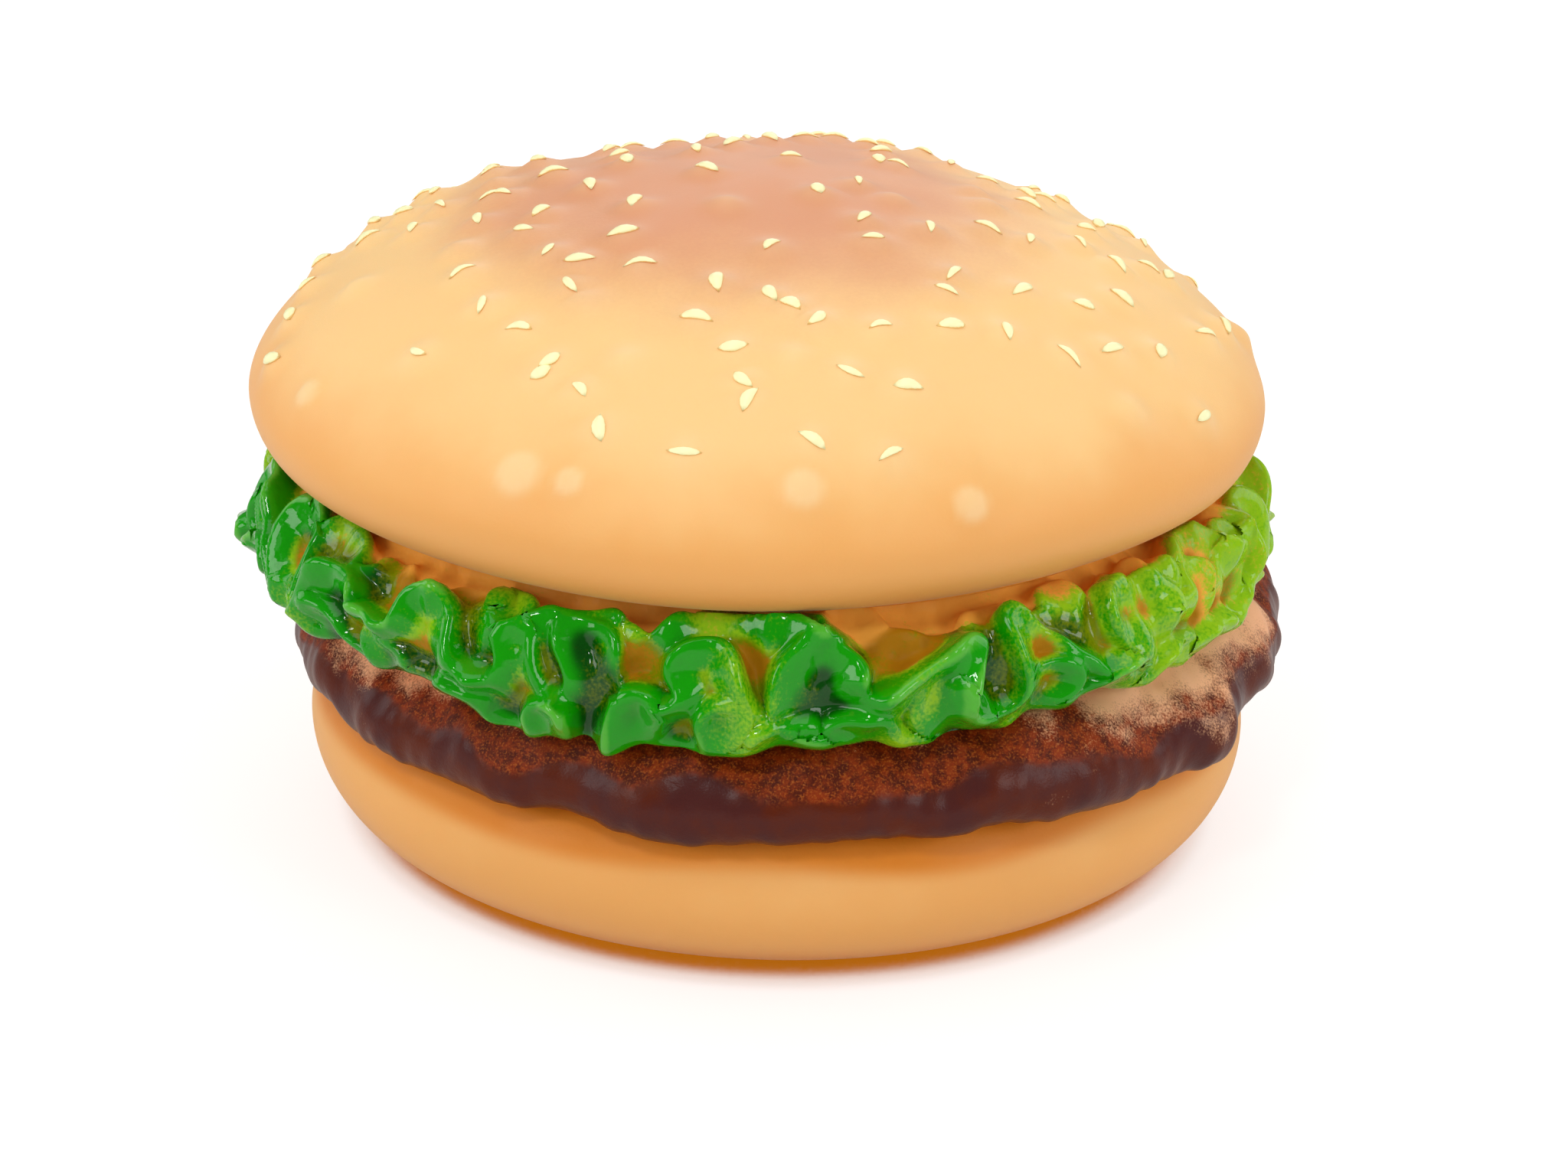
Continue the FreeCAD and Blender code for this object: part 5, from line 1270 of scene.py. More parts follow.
@dataclass
class LettuceRing:
    """The leaf between the patty and the lid: a frill whose edges meander over two tiers.

    The frill is a closed ring. Its side is pinched up along the rims and dished between them, and
    each crest is drawn to one side so that it curls over the next hollow.
    """

    shift: float = 0.6 * MM
    bore: float = 50.0 * MM
    rebate: float = 53.3 * MM
    ledge_drop: float = 2.9 * MM
    radius: float = 62.0 * MM
    low: float = 33.0 * MM
    collar: float = 0.5 * MM
    columns: int = 1120
    frill_rows: int = 76
    pinch: float = 5.2 * MM
    steep_reach: float = 1.0 * MM
    gentle_reach: float = 2.0 * MM
    turnover: float = 0.6 * MM
    pinch_round: float = 0.6 * MM
    dish: float = 2.6 * MM
    crinkle: float = 0.32 * MM
    curl: float = 0.8 * MM
    curl_reach: float = 1.3 * MM
    lift: float = 1.1 * MM
    dip: float = 0.5 * MM
    perch: float = 0.3 * MM
    gap: float = 0.6 * MM
    lid_radius: float = 62.0 * MM
    lip_radius: float = 53.0 * MM
    hinge_half: float = 25.8 * MM
    hinge_floor: float = 41.3 * MM
    deck_top: float = field(init=False)
    lid_lip: float = field(init=False)
    lid_belly: float = field(init=False)
    side_line: Line = (
        (-5.4, 0.0), (-3.8, -0.8), (-1.8, -1.4), (-0.5, 1.0), (0.3, 4.2),
        (0.2, 7.4), (-0.9, 10.2), (-2.8, 12.3), (-4.8, 13.3), (-6.8, 13.5),
    )
    rims: tuple[Rim, ...] = (
        Rim(13.6 * MM, 4.2 * MM, 31, 1.1 * MM, 0.5, 1.1),
        Rim(6.8 * MM, 2.6 * MM, 38, 1.0 * MM, 0.5, 4.2),
        Rim(19.8 * MM, 2.2 * MM, 27, 0.8 * MM, 0.9, 2.3),
    )
    swells: Terms = (
        (0.30 * MM, 9, 4.0, 0.0), (0.26 * MM, 14, -6.0, 2.0), (0.24 * MM, 23, 9.0, 4.0),
        (0.20 * MM, 31, -5.0, 0.5), (0.18 * MM, 43, 12.0, 3.0), (0.14 * MM, 57, -14.0, 1.0),
    )
    drape: Terms = (
        (0.30 * MM, 8, 0.0, 1.0), (0.30 * MM, 15, 0.0, 3.0),
        (0.25 * MM, 26, 0.0, 2.0), (0.20 * MM, 35, 0.0, 5.0),
    )

    def __post_init__(self) -> None:
        """Reads the heights that the ring sits between."""
        self.deck_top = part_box("keypad_deck")[1].z + self.collar
        self.lid_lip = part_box("top_bun")[0].z
        self.lid_belly = self.lid_lip + TopBun.belly_rise

    def build(self, lacquer: bpy.types.Material) -> None:
        """Builds the ring, cut away behind for the hinge.

        Args:
            lacquer: its finish.
        """
        piece = self.ring()
        combine(piece, [block("hinge_gap", (-self.hinge_half, 40.0 * MM, self.hinge_floor),
                              (self.hinge_half, 90.0 * MM, 60.0 * MM))])
        dress(piece, "base", lacquer, ("lettuce_ring",), 60)

    def section(self) -> tuple[Array, slice]:
        """The ring's section before it is ruffled.

        Returns:
            The closed outline as (radius, height) rows, and which rows are the frill.
        """
        low, top, bore, rebate = self.low, self.deck_top, self.bore, self.rebate
        line = np.array(self.side_line) * MM + [self.radius, low]
        collar = np.array([
            [rebate + 0.9 * MM, low + 13.0 * MM], [rebate + 0.6 * MM, top + 0.4 * MM],
            [rebate + 0.4 * MM, top],
        ])
        under = np.linspace([bore, low], line[0], 7)[:-1]
        frill = b_spline(np.vstack([line, collar]), self.frill_rows)
        ledge = top - self.ledge_drop
        inside = np.array([
            [rebate, top], [rebate, top - 0.5 * self.ledge_drop], [rebate, ledge],
            [0.5 * (rebate + bore), ledge], [bore, ledge],
            [bore, low + 5.0 * MM], [bore, low + 2.5 * MM],
        ])
        return np.vstack([under, frill, inside]), slice(len(under), len(under) + len(frill))

    def folds(self, up: Array, angles: Array) -> tuple[Array, Array, Array, Array]:
        """How strongly the rims pinch the frill's side.

        A point at distance d from a rim stands out by e^(-(sqrt(d^2 + c^2) - c) / r), where c is
        the rim's rounding and r its reach, which is short on the rim's left and long on its right,
        so that each rim is the edge of a fold.

        Args:
            up: distance up the frill's side of each row.
            angles: angle of each column.

        Returns:
            The pinch from 0 to 1, the distance to the nearest rim, and that rim's sideways
            direction round the ring and up its side, all of shape (rows, columns).
        """
        girth = TAU * self.radius
        fields = [rim.nearest(angles / TAU * girth, up, girth) for rim in self.rims]
        near = np.argmin(np.stack([item[0] for item in fields]), axis=0)[None]
        nearest, side, rise = [
            np.take_along_axis(np.stack([item[part] for item in fields]), near, axis=0)[0]
            for part in range(3)
        ]
        soft = self.pinch_round * (1.0 + self.calm(angles))
        crest = np.zeros_like(nearest)
        for distance, _, _, strength, left in fields:
            steep = 0.5 + 0.5 * np.tanh(left / self.turnover)
            reach = self.gentle_reach + (self.steep_reach - self.gentle_reach) * steep
            away = np.sqrt(distance ** 2 + soft ** 2) - soft
            crest = np.maximum(crest, strength * np.exp(-away / reach))
        return crest, nearest, side, rise

    @staticmethod
    def calm(angles: Array) -> Array:
        """Where the folds are lower and rounder, from 0 to 1: on the front right."""
        return (smooth(-1.15, -0.6, bearings(angles)) * smooth(0.6, 0.0, bearings(angles)))[None, :]

    def ring(self) -> bpy.types.Object:
        """Builds the ring.

        The frill's side moves out along its normal by the pinch less the dish, plus low waves. The
        crests are then drawn sideways, the hem is draped up and down, and all of it stays a gap
        below the lid's lip.

        Returns:
            The closed ring, with the attributes that its finish reads.
        """
        profile, rows = self.section()
        angles = np.arange(self.columns) * TAU / self.columns
        frill = profile[rows]
        up = np.concatenate([[0.0], np.cumsum(np.linalg.norm(np.diff(frill, axis=0), axis=1))])
        share = (up / up[-1])[:, None]
        crest, nearest, side, rise = self.folds(up, angles)
        calm = self.calm(angles)
        height = (
            self.pinch * crest * (1.0 - 0.2 * calm) - self.dish * (1.0 - 0.3 * calm)
            + ripples(self.swells, angles[None, :], share)
            + self.crinkle * waves(angles[None, :], share, 87, 14, 50, 120, 2.0)
        )
        height = blur(height, 2)
        height += (blur(height, 14) - height) * smooth(0.34, 0.16, share)

        hold = smooth(0.0, 0.16, share) * smooth(0.96, 0.8, share)
        pull = self.curl * blur(bump(nearest, self.curl_reach), 2) * smooth(0.05, 0.25, share)
        normal = profile_normals(frill)[:, None, :]
        tangent = np.stack([-normal[..., 1], normal[..., 0]], axis=-1)
        moved = (normal * height[..., None] + tangent * (pull * rise)[..., None]) * hold[..., None]
        moved[..., 1] *= np.where(normal[..., 1] < 0.0, 0.65, 1.0)
        ruffled = frill[:, None, :] + moved
        front = bump((bearings(angles) + 0.5 * math.pi) / math.radians(30), 1.0)
        lift = (
            self.lift * (1.0 - front) - self.dip * front + self.perch * np.cos(angles / 2) ** 4
            + ripples(self.drape, angles)
        )
        ruffled[..., 1] += smooth(0.0, 0.1, share) * smooth(0.5, 0.12, share) * lift[None, :]
        under_lid = (ruffled[..., 0] - self.lip_radius) / (self.lid_radius - self.lip_radius)
        roof = np.sqrt(1.0 - np.clip(under_lid, 0.0, 1.0) ** 2)
        roof = self.lid_belly - (self.lid_belly - self.lid_lip) * roof - self.gap
        ruffled[:-1, :, 1] = np.minimum(ruffled[:-1, :, 1], roof[:-1])

        grid = np.repeat(profile[:, None, :], self.columns, axis=1)
        grid[rows] = ruffled
        outer = smooth(self.rebate + 1.0 * MM, self.radius - 7.0 * MM, profile[:, 0])
        points = revolve(grid, angles, (self.shift * outer)[:, None])
        drift = pull * side * hold
        points[rows, :, 0] -= drift * np.sin(angles)
        points[rows, :, 1] += drift * np.cos(angles)
        piece = closed_ring("lettuce_frill", points)
        self.paint(piece, grid.shape[:2], rows, share, crest, angles, height)
        return piece

    def paint(self, piece: bpy.types.Object, shape: tuple[int, int], rows: slice, share: Array,
              crest: Array, angles: Array, height: Array) -> None:
        """Stores where the lacquer lies and runs thin, how deep the hollows are, which the finish
        darkens as pooled lacquer and painted shade, and where the crests are, which it lightens as
        thinned lacquer and a painted highlight.

        Args:
            piece: the ring.
            shape: rows and columns of its grid.
            rows: the frill's rows.
            share: place up the frill, from 0 to 1, as a column.
            crest: how near each point is to a fold's edge, from 0 to 1.
            angles: angle of each column.
            height: how far each point was pushed out.
        """
        cover, pool, edge = np.zeros(shape), np.zeros(shape), np.zeros(shape)
        bearing = bearings(angles)
        patchy = waves(angles[None, :], share, 71, 12, 5, 34, 1.2)
        chosen = waves(angles[None, :], share, 93, 9, 7, 26, 1.0)
        deep = smooth(0.2 * MM, -1.7 * MM, height)
        bare_top = smooth(0.60, 0.84, share - 0.10 * crest + 0.05 * patchy)
        bare_dish = deep * (0.3 + 0.7 * smooth(-0.4, 0.3, chosen))
        bare_dish = bare_dish * smooth(0.12, 0.36, share + 0.1 * patchy)
        # On the right the lacquer is laid thinner, so the leaf is a lighter yellow-green there:
        # partly thin spray, partly painted light shining through the vinyl.
        side = (smooth(-1.1, -0.6, bearing) * smooth(1.6, 0.9, bearing))[None, :]
        laid = 0.88 + 0.2 * patchy - 0.85 * bare_top - 0.72 * bare_dish
        laid = laid - side * (0.44 + 0.12 * patchy)
        cover[rows] = np.clip(laid, 0.0, 1.0) * smooth(0.03, 0.12, share)
        # The hollows' depth, which the finish darkens as pooled lacquer and painted shade.
        pool[rows] = smooth(0.4 * MM, -2.0 * MM, height) * (1.0 - bare_top)
        # The crests, which the finish lightens as thinned lacquer and a painted highlight.
        edge[rows] = smooth(0.72, 0.98, crest)
        store(piece, cover=cover, pool=pool, crest=edge)


@dataclass
class PattyRing:
    """The pressed patty: a closed ring whose side is lumpy, and folded where it bulges most."""

    shift: float = 4.7 * MM
    bore: float = 47.6 * MM
    radius: float = 60.9 * MM
    low: float = 21.0 * MM
    high: float = 33.0 * MM
    columns: int = 760
    side_rows: int = 56
    grit: float = 0.1 * MM
    side_line: Line = (
        (-5.0, 0.0), (-3.6, 0.0), (-2.0, -0.9), (-0.4, -0.2), (0.9, 2.2),
        (0.6, 5.0), (-1.4, 8.0), (-4.2, 10.6), (-6.8, 12.0), (-8.6, 12.0),
    )
    lumps: Terms = (
        (0.32 * MM, 7, 2.0, 0.8), (0.30 * MM, 11, -3.0, 2.1),
        (0.26 * MM, 16, 2.5, 4.0), (0.22 * MM, 20, -2.0, 1.0),
    )
    folds: Terms = (
        (0.10 * MM, 24, 8.0, 0.0), (0.10 * MM, 29, -9.0, 2.0), (0.08 * MM, 37, 12.0, 1.0),
    )
    sag: Terms = ((0.20 * MM, 4, 0.0, 1.0), (0.18 * MM, 7, 0.0, 3.0), (0.14 * MM, 11, 0.0, 0.5))

    def build(self, lacquer: bpy.types.Material) -> None:
        """Builds the ring: a B-spline side pushed in and out by broad lumps and upright folds.

        Args:
            lacquer: its finish.
        """
        line = np.array(self.side_line) * MM + [self.radius, self.low]
        under = np.linspace([self.bore, self.low], line[0], 5)[:-1]
        side = b_spline(line, self.side_rows)
        inside = np.linspace([self.bore, self.high], [self.bore, self.low + 3.0 * MM], 4)
        profile = np.vstack([under, side, inside])
        rows = slice(len(under), len(under) + len(side))
        share = np.linspace(0.0, 1.0, len(side))[:, None]
        angles = np.arange(self.columns) * TAU / self.columns
        bearing = bearings(angles)
        strong = 1.0 + 0.5 * bump(bearing + 0.35, 0.75) + 0.5 * bump(np.abs(bearing) - math.pi, 0.7)
        hold = smooth(0.0, 0.2, share) * smooth(1.0, 0.8, share)
        height = hold * (
            ripples(self.lumps, angles[None, :], share) * strong
            + ripples(self.folds, angles[None, :], share) * strong * strong
            + self.grit * waves(angles[None, :], share, 27, 12, 60, 120, 2.0)
        )
        grid = np.repeat(profile[:, None, :], self.columns, axis=1)
        grid[rows] += profile_normals(side)[:, None, :] * height[..., None]
        grid[rows, :, 1] += ripples(self.sag, angles)[None, :] * hold
        grid[rows, :, 1] = np.minimum(grid[rows, :, 1], self.high)
        outer = smooth(self.bore + 2.0 * MM, self.radius - 8.7 * MM, profile[:, 0])
        piece = closed_ring("patty_side", revolve(grid, angles, (self.shift * outer)[:, None]))
        self.paint(piece, grid.shape[:2], rows, share, angles, height)
        dress(piece, "base", lacquer, ("patty_ring",), 60)

    @staticmethod
    def paint(piece: bpy.types.Object, shape: tuple[int, int], rows: slice, share: Array,
              angles: Array, height: Array) -> None:
        """Stores where the lacquer is wet, where it thins out, and the brim, where painted bounce
        light lies.

        Args:
            piece: the ring.
            shape: rows and columns of its grid.
            rows: the side's rows.
            share: place up the side, from 0 to 1, as a column.
            angles: angle of each column.
            height: how far each point was pushed out.
        """
        gloss, bare, brim = np.zeros(shape), np.zeros(shape), np.zeros(shape)
        bearing = bearings(angles)
        patchy = waves(angles[None, :], share, 55, 10, 4, 30, 0.9)
        right, left = bump(bearing + 0.45, 0.6)[None, :], bump(bearing + 2.55, 0.4)[None, :]
        gloss[rows] = smooth(0.64, 0.40, share + 0.06 * patchy)
        line = 0.94 - 0.52 * right - 0.38 * left
        bare[rows] = np.clip(
            smooth(line - 0.18, line + 0.24 + 0.2 * right, share + 0.07 * patchy)
            + 0.3 * right * smooth(-0.2 * MM, 0.8 * MM, height) * smooth(0.2, 0.5, share), 0.0, 1.0)
        # The brim along the lower edge, which gets the painted bounce light.
        brim[rows] = smooth(0.21, 0.15, share)
        store(piece, gloss=gloss, bare=bare, brim=brim)


@dataclass
class BottomBun:
    """The lower bun: a hollow turned shell with screw posts, a foot recess and a flat rear panel."""

    shift: float = 3.5 * MM
    radius: float = 59.0 * MM
    edge: float = 12.5 * MM
    belly: float = 12.5 * MM
    rise: float = 10.5 * MM
    top: float = 21.0 * MM
    low: float = 0.6 * MM
    wall: float = 2.4 * MM
    floor: float = 3.0 * MM
    mouth: float = 47.6 * MM
    columns: int = 360
    foot_radius: float = 36.15 * MM
    foot_depth: float = 1.8 * MM
    post_circle: float = 40.0 * MM
    post_radius: float = 5.0 * MM
    head_bore: float = 3.1 * MM
    screw_hole: float = 1.8 * MM
    panel_y: float = 53.5 * MM
    panel_half: float = 19.0 * MM
    panel_low: float = 4.5 * MM
    panel_high: float = 18.5 * MM
    jack_play: float = 0.15 * MM
    knob_travel: float = 2.3 * MM
    knob_play: float = 0.3 * MM
    sounder: tuple[float, float] = (10.0 * MM, 22.0 * MM)
    sounder_radius: float = 7.0 * MM
    slot_pitch: float = 3.0 * MM
    slot_half: float = 0.7 * MM

    def build(self, vinyl: bpy.types.Material) -> None:
        """Builds the shell with its posts and panel, and cuts its holes as the moulding has them.

        Args:
            vinyl: its finish.
        """
        angles = np.arange(self.columns) * TAU / self.columns
        outer = self.outline(26)
        profile = np.vstack([self.hollow(), outer])
        piece = closed_turning("bottom_bun_shell", revolve(profile, angles, self.shift))
        roof = self.top - 0.4 * MM
        solid = np.vstack([[[0.0, roof], [self.radius - self.edge, roof]], outer[2:]])
        backing = closed_turning("panel_backing", revolve(solid, angles, self.shift))
        reach = self.panel_half + self.wall
        slab = block("slab", (self.shift - reach, self.panel_y - self.wall, self.low),
                     (self.shift + reach, 0.1, self.top - self.wall / 2))
        combine(backing, [slab], "INTERSECT")
        posts = [drum("post", self.post_radius, self.low + 0.2 * MM, 24.0 * MM, x, y)
                 for x, y in self.corners()]
        combine(piece, posts + [backing], "UNION")
        combine(piece, self.cutters())
        self.paint(piece)
        dress(piece, "base", vinyl, ("bottom_bun",), 35)

    def outline(self, count: int) -> Array:
        """The outer line from the rim down to the middle of the floor.

        Args:
            count: how many points its lower curve has.

        Returns:
            Points of shape (n, 2), as (radius, height).
        """
        flat = self.radius - self.edge
        upper = superellipse((flat, self.belly), self.edge, self.rise, ROUND, 90, 0, 2 * count)
        upper = upper[upper[:, 1] <= self.top]
        reach = flat + self.edge * math.sqrt(1.0 - ((self.top - self.belly) / self.rise) ** 2)
        lower = superellipse((flat, self.belly), self.edge, self.belly - self.low, ROUND,
                             0, -90, count)[1:]
        floor = np.linspace([flat, self.low], [0.0, self.low], 8)[1:]
        return np.vstack([[[reach, self.top]], upper, lower, floor])

    def hollow(self) -> Array:
        """The inner line from the middle of the floor up to the mouth.

        Returns:
            Points of shape (n, 2), as (radius, height).
        """
        centre, half = (self.radius - self.edge, self.belly), self.edge - self.wall
        floor, roof = self.low + self.floor, self.top - self.wall
        lower = superellipse(centre, half, self.belly - floor, ROUND, -90, 0, 9)
        upper = superellipse(centre, half, roof - self.belly, ROUND, 0, 80, 9)[1:]
        return np.vstack([[[0.0, floor], [20.0 * MM, floor]], lower, upper,
                          [[self.mouth, roof]], [[self.mouth, self.top]]])

    def corners(self) -> list[tuple[float, float]]:
        """Where the four posts stand."""
        place = self.post_circle * math.sqrt(0.5)
        return [(across * place, back * place) for across in (-1, 1) for back in (-1, 1)]

    def cutters(self) -> list[bpy.types.Object]:
        """Tools for the panel's window, its two openings, the foot, the screws and the sound slots.

        Returns:
            Closed pieces to cut away.
        """
        left, right = self.shift - self.panel_half, self.shift + self.panel_half
        jack_low, jack_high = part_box("line_jack")
        knob_low, knob_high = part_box("ringer_knob")
        tools = [
            block("window", (left, self.panel_y, self.panel_low), (right, 0.1, self.panel_high)),
            block("jack_hole", (jack_low.x - self.jack_play, 0.045, jack_low.z),
                  (jack_high.x + self.jack_play, 0.1, jack_high.z + self.jack_play)),
            block("knob_slot", (knob_low.x - self.knob_travel, 0.05, knob_low.z - self.knob_play),
                  (knob_high.x + self.knob_travel, 0.1, knob_high.z + self.knob_play)),
            drum("foot_recess", self.foot_radius, -1.0 * MM, self.foot_depth, 0.0, 0.0),
        ]
        for name, radius, low, high in (("head_bore", self.head_bore, -1.0 * MM, 10.0 * MM),
                                        ("screw_hole", self.screw_hole, 5.0 * MM, 30.0 * MM)):
            tools += [drum(name, radius, low, high, x, y) for x, y in self.corners()]
        x, y = self.sounder
        roof = self.low + self.floor + 1.0 * MM
        for offset in self.slot_pitch * np.arange(-2, 3):
            half = math.sqrt(self.sounder_radius ** 2 - offset ** 2)
            tools.append(block("sound_slot", (x - half, y + offset - self.slot_half, -1.0 * MM),
                               (x + half, y + offset + self.slot_half, roof)))
        return tools

    def paint(self, piece: bpy.types.Object) -> None:
        """Stores where deep orange shade is painted: under the patty, and faintly along the foot.

        Args:
            piece: the shell.
        """
        points = vertices_of(piece)
        height = points[:, 2]
        bearing = np.arctan2(points[:, 1], points[:, 0] - self.shift)
        cloud = waves(bearing, np.zeros(1), 9, 7, 2, 9, 0.0)
        # Painted shade: under the patty's overhang it reaches lower at the front, and along the foot
        # it stands for the shade where the bun meets the floor.
        front = 0.5 + 0.5 * np.cos(bearing + 1.45)
        under = smooth(15.2 * MM, 17.9 * MM, height + 0.8 * MM * cloud + 0.8 * MM * front)
        foot = 0.6 * smooth(6.0 * MM, 2.2 * MM, height)
        store(piece, shade=np.clip(under * (0.9 + 0.1 * cloud) + foot, 0.0, 1.0),
              level=0.3 * smooth(0.0, 14.0 * MM, height), crown=0.0 * height, swell=0.0 * height)


# ---- Keys ----

@dataclass
class KeyLegends:
    """Digits and signs printed on the keys: raised flat ink, one mesh for each key."""

    size: float = 6.4 * MM
    small: float = 4.6 * MM
    ink: float = 0.05 * MM
    signs: dict[str, str] = field(default_factory=lambda: {
        **{f"key_{digit}": str(digit) for digit in range(10)},
        "key_star": "*", "key_hash": "#", "key_redial": "<<", "key_flash": "=", "key_mute": "x",
    })

    def build(self, material: bpy.types.Material) -> None:
        """Builds every key's sign.

        Args:
            material: the ink's finish.
        """
        for node, sign in self.signs.items():
            dress(self.legend(node, sign), node, material)

    def legend(self, node: str, sign: str) -> bpy.types.Object:
        """Builds one key's sign, centred on the key's top.

        Args:
            node: the key's node.
            sign: what is printed on it.

        Returns:
            The new piece.
        """
        low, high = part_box(node)
        text = bpy.data.curves.new(f"legend_of_{node}", "FONT")
        text.body = sign
        text.size = self.size if sign.isdigit() or sign in ("*", "#") else self.small
        text.extrude = self.ink
        text.resolution_u = 4
        holder = add_object(text.name, text)
        graph = bpy.context.evaluated_depsgraph_get()
        mesh = bpy.data.meshes.new_from_object(holder.evaluated_get(graph))
        bpy.data.objects.remove(holder)
        piece = add_object(f"legend_of_{node}", mesh)
        merge_points(piece, 0.001 * MM)
        places = vertices_of(piece)
        middle = 0.5 * (places.min(axis=0) + places.max(axis=0))
        target = np.array([0.5 * (low.x + high.x), 0.5 * (low.y + high.y), high.z + 0.2 * self.ink])
        mesh.vertices.foreach_set("co", (places - middle + target).ravel())
        mesh.update()
        return piece


# ---- Camera and studio ----

@dataclass(frozen=True)
class Camera:
    """The viewpoint: a long lens a little above the front of the object.

    Attributes:
        lens: focal length in millimetres.
        sensor: width of the sensor in millimetres.
        distance: how far it stands from the point that it circles.
        elevation: how high it stands over that point, in degrees.
        target_height: height of that point.
        side: how far it stands to the right.
        yaw: how far it looks to the right, in degrees.
        pitch: how far it looks down, in degrees.
        roll: how far it is tilted to the left, in degrees.
    """

    lens: float = 82.3
    sensor: float = 36.0
    distance: float = 0.45
    elevation: float = 21.634
    target_height: float = 35.0 * MM
    side: float = 5.9 * MM
    yaw: float = -0.251
    pitch: float = 22.592
    roll: float = 1.399

    def build(self) -> None:
        """Creates the camera and makes it the scene's."""
        data = bpy.data.cameras.new("camera")
        data.lens = self.lens
        data.sensor_width = self.sensor
        data.clip_start = 0.01
        camera = add_object("camera", data)
        climb, yaw, pitch, roll = [
            math.radians(angle) for angle in (self.elevation, self.yaw, self.pitch, self.roll)]
        place = Vector((self.side, -self.distance * math.cos(climb),
                        self.distance * math.sin(climb) + self.target_height))
        ahead = Vector((math.sin(yaw) * math.cos(pitch), math.cos(yaw) * math.cos(pitch),
                        -math.sin(pitch)))
        right = ahead.cross(Vector((0, 0, 1))).normalized()
        up = right.cross(ahead)
        turned_right = math.cos(roll) * right + math.sin(roll) * up
        turned_up = -math.sin(roll) * right + math.cos(roll) * up
        rows = Matrix((turned_right, turned_up, -ahead)).transposed().to_4x4()
        camera.matrix_world = Matrix.Translation(place) @ rows
        bpy.context.scene.camera = camera


@dataclass(frozen=True)
class Softbox:
    """A square lamp that points at the object.

    Attributes:
        name: the lamp's name.
        place: where it stands, in metres.
        size: length of its side in metres.
        power: its power in watts.
    """

    name: str
    place: Corner
    size: float
    power: float

    def build(self, aim: Vector) -> None:
        """Creates the lamp.

        Args:
            aim: the point that it faces.
        """
        lamp = bpy.data.lights.new(self.name, "AREA")
        lamp.shape = "SQUARE"
        lamp.size = self.size
        lamp.energy = self.power
        place = Vector(self.place)
        turn = (aim - place).to_track_quat("-Z", "Y").to_matrix().to_4x4()
        add_object(self.name, lamp).matrix_world = Matrix.Translation(place) @ turn


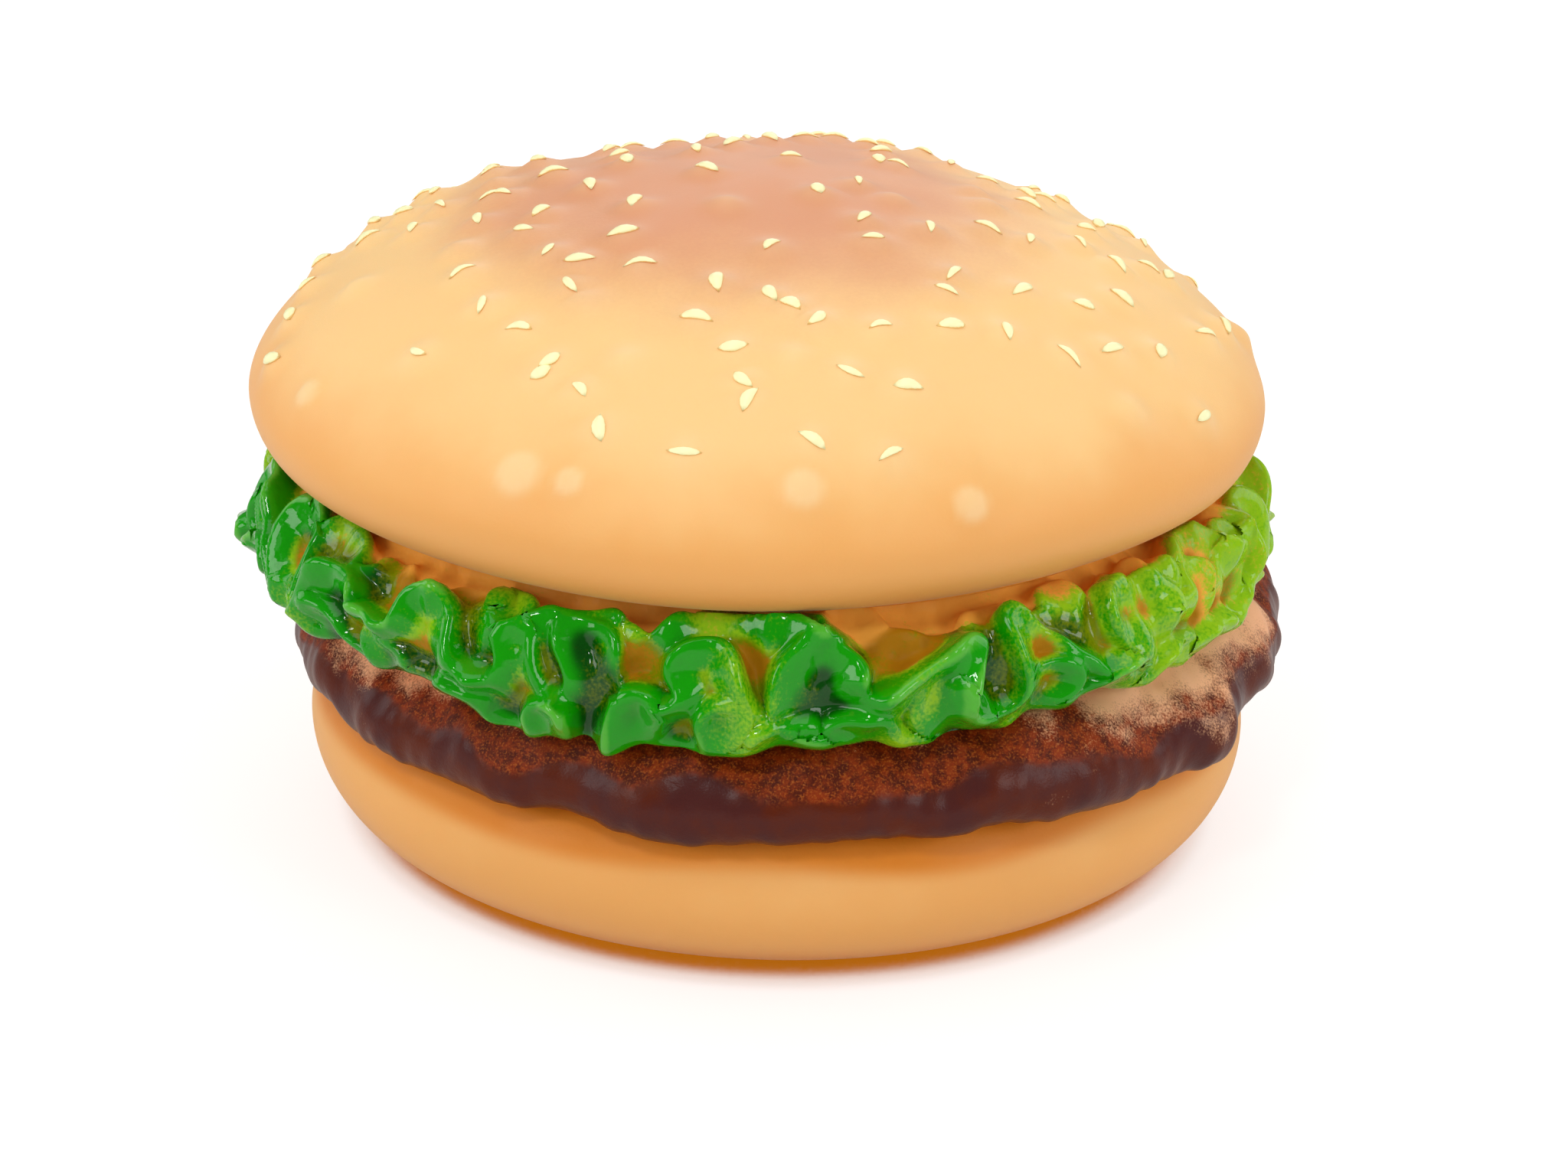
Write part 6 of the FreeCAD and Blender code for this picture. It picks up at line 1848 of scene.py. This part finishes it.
@dataclass(frozen=True)
class Studio:
    """A light tent: a white floor, a white surround and softboxes at a plain level."""

    boxes: tuple[Softbox, ...] = (
        Softbox("overhead_softbox", (0.0, -0.05, 0.75), 0.6, 1.6),
        Softbox("key_lamp", (-0.15, -0.5, 0.55), 0.09, 0.7),
        Softbox("front_left_softbox", (-0.78, -0.52, 0.36), 0.42, 2.2),
        Softbox("front_right_softbox", (0.78, -0.55, 0.36), 0.42, 2.4),
        Softbox("left_softbox", (-0.9, 0.3, 0.4), 0.6, 1.6),
        Softbox("right_softbox", (0.9, 0.3, 0.4), 0.6, 1.6),
        Softbox("rear_softbox", (0.1, 0.8, 0.5), 0.65, 1.8),
    )
    aim: Corner = (0.0, 0.0, 35.0 * MM)
    surround: float = 0.38
    mirrored: float = 0.12
    floor_half: float = 6.0
    opening: float = 6.5 * MM
    card: str = "#E6E4E2"
    card_seen: str = "#AFA9A6"
    # Painted contact shadow: the card's dark brown where the bun closes over it.
    card_closed: str = "#6E3000"
    # Painted soft shadow: the pinkish grey of the glow a little farther out.
    haze: str = "#EADCD6"
    # Painted bounce light: the orange of the glow under the bun.
    bounce: str = "#C87414"

    def build(self) -> None:
        """Creates the floor, the lamps and the surround."""
        self.floor()
        for box in self.boxes:
            box.build(Vector(self.aim))
        self.world()

    def floor(self) -> None:
        """A wide floor: white card that glows for the camera only, and keeps the object's shadow.

        Where the object closes over it the card's colour is painted dark brown and its glow orange,
        as the bun's contact shadow and the orange light that it throws on the card, and a little
        farther out the glow is painted pinkish grey, as a soft shadow. The glow grows with the
        distance from the object, where the lamps no longer reach the card.
        """
        corners = np.array([[-1, -1, 0], [1, -1, 0], [1, 1, 0], [-1, 1, 0]], float)
        floor = mesh_object("floor", self.floor_half * corners, [[0, 1, 2, 3]], False)
        material = bpy.data.materials.new("white_card")
        tree = empty_tree(material)
        seen = add_node(tree, "LightPath", output="Is Camera Ray")
        # How open the card is to the room: it places the painted contact shadow, bounce light and
        # soft shadow.
        opening = add_node(tree, "AmbientOcclusion", {"Distance": self.opening}, "AO", samples=24)
        clear = add_node(tree, "MapRange", (opening, 0.18, 0.29), **SMOOTHSTEP)
        wide = add_node(tree, "MapRange", (opening, 0.3, 0.55), **SMOOTHSTEP)
        shown, haze = [
            add_node(tree, "Mix", {SHARE: share, BELOW: linear(below), ABOVE: linear(above)},
                     MIXED, **COLOURS)
            for share, below, above in ((clear, self.card_closed, self.card_seen),
                                        (wide, self.haze, "#FFFFFF"))
        ]
        paint, tint = [
            add_node(tree, "Mix", {SHARE: share, BELOW: linear(below), ABOVE: above},
                     MIXED, **COLOURS)
            for share, below, above in ((seen, self.card, shown), (clear, self.bounce, haze))
        ]
        place = add_node(tree, "TexCoord", output="Object")
        away = add_node(tree, "VectorMath", (place,), "Value", operation="LENGTH")
        growing = add_node(tree, "MapRange", (away, 0.3, 1.0, 0.70, 0.90), **SMOOTHSTEP)
        strength = add_node(tree, "Math", (seen, growing), operation="MULTIPLY")
        card = add_node(tree, "BsdfDiffuse", {"Color": paint})
        glow = add_node(tree, "Emission", {"Color": tint, "Strength": strength})
        add_node(tree, "OutputMaterial", {"Surface": add_node(tree, "AddShader", (card, glow))})
        floor.data.materials.append(material)

    def world(self) -> None:
        """A white surround: bright where it is seen, dim where gloss mirrors the open room."""
        world = bpy.data.worlds.new("light_tent")
        bpy.context.scene.world = world
        tree = empty_tree(world)
        direct, through, mirror = [
            add_node(tree, "LightPath", output=f"Is {ray} Ray")
            for ray in ("Camera", "Transmission", "Glossy")
        ]
        seen = add_node(tree, "Math", (direct, through), operation="MAXIMUM")
        plain = add_node(tree, "MapRange", {
            "Value": mirror, "To Min": self.surround, "To Max": self.mirrored})
        level = add_node(tree, "Math", (plain, seen), operation="MAXIMUM")
        sky = add_node(tree, "Background", {"Color": linear("#FFFFFF"), "Strength": level})
        add_node(tree, "OutputWorld", {"Surface": sky})


# ---- Finishes of the nodes that keep their shape ----

FINISH_OF_SLOT = {
    # Warm and satin, so that the inside belongs to the buns.
    "inner_cream": SimpleFinish(
        "moulded_abs_cream", Base.PLASTIC, "#EBD3A6", 0.42, 0.4 * MM, 0.012 * MM, 0.02),
    # Paler and smoother than the deck, so that each key stands off it.
    "key_ivory": SimpleFinish(
        "moulded_abs_ivory_keys", Base.PLASTIC, "#F6EFDC", 0.33, 0.3 * MM, 0.006 * MM, 0.015),
    # The one strong colour inside, which sets the three function keys apart.
    "function_key_red": SimpleFinish(
        "moulded_abs_tomato_red", Base.PLASTIC, "#C43A2B", 0.33, 0.3 * MM, 0.006 * MM, 0.03),
    # Dull and nearly black, round the bright microphone.
    "rubber_dark": SimpleFinish(
        "moulded_rubber_dark", Base.RUBBER, "#2E2B2A", 0.75, 0.3 * MM, 0.03 * MM, 0.05),
    # Dull brown, a darker tone of the bread.
    "rubber_tan": SimpleFinish(
        "moulded_rubber_tan", Base.RUBBER, "#A9774C", 0.78, 0.35 * MM, 0.035 * MM, 0.05),
    # Milky grey with a soft shine between the keys.
    "rubber_clear_grey": SimpleFinish(
        "silicone_key_mat", Base.RUBBER, "#B9BCBE", 0.55, 0.4 * MM, 0.01 * MM, 0.04),
    # Bright blue-grey metal with blurred reflections.
    "steel": SimpleFinish(
        "zinc_plated_steel", Base.METAL, "#C9CBCE", 0.28, 0.5 * MM, 0.006 * MM, 0.05),
    # Deep green under a thin clear coat.
    "board_green": SimpleFinish(
        "solder_masked_board", Base.BOARD, "#1E6B3A", 0.35, 0.6 * MM, 0.02 * MM, 0.08),
    # Satin black that shows the shape of small parts by their highlights.
    "black_plastic": SimpleFinish(
        "moulded_abs_black", Base.PLASTIC, "#232325", 0.45, 0.3 * MM, 0.01 * MM, 0.03),
    # Yellow glints at the back of the socket.
    "gold_contact": SimpleFinish(
        "gold_plated_contacts", Base.METAL, "#E8C063", 0.22, 0.3 * MM, 0.004 * MM, 0.03),
    # A softer and slightly darker shine than the screws have.
    "mic_can": SimpleFinish(
        "drawn_aluminium_can", Base.METAL, "#C3C6C9", 0.32, 0.3 * MM, 0.006 * MM, 0.04),
    # Coarse pores and hardly any shine.
    "foam_grey": SimpleFinish(
        "open_cell_foam", Base.FOAM, "#6E7073", 0.95, 0.5 * MM, 0.12 * MM, 0.12),
    # Dark and fibrous, behind the grille.
    "cone_paper": SimpleFinish(
        "pressed_paper_cone", Base.FOAM, "#4A4642", 0.9, 0.25 * MM, 0.02 * MM, 0.1),
    # Rougher than the black mouldings, from the glass in it.
    "frame_black": SimpleFinish(
        "glass_filled_nylon_frame", Base.PLASTIC, "#1E1E20", 0.55, 0.35 * MM, 0.02 * MM, 0.04),
}
# Flat dark brown that is easy to read on ivory.
INK = SimpleFinish(
    "pad_printed_brown_ink", Base.PLASTIC, "#4A2E20", 0.6, 0.2 * MM, 0.004 * MM, 0.05)
REBUILT = ("top_bun", "lettuce_ring", "patty_ring", "bottom_bun")


def dress_nodes() -> None:
    """Gives every node that keeps its shape the finish of its slot in the record."""
    built: dict[str, bpy.types.Material] = {}
    for row in frame["record"]["subparts"]:
        node, slot = row["node"], row["material_slot"]
        if node in REBUILT or slot not in FINISH_OF_SLOT:
            continue
        if slot not in built:
            built[slot] = FINISH_OF_SLOT[slot].build()
        for place in frame["nodes"][node].material_slots:
            place.material = built[slot]
        LOG.info("%s: %s", node, built[slot].name)


def main() -> None:
    """Builds the studio, the outer mouldings and the key legends, and dresses the other nodes."""
    logging.basicConfig(level=logging.INFO, format="%(message)s")
    bpy.context.scene.view_settings.view_transform = "Standard"
    Camera().build()
    Studio().build()
    vinyl = BunVinyl().build()
    TopBun().build(vinyl, SeedPaint().build())
    LettuceRing().build(LeafPaint().build())
    PattyRing().build(PattyPaint().build())
    BottomBun().build(vinyl)
    KeyLegends().build(INK.build())
    dress_nodes()


if __name__ == "__main__":
    main()
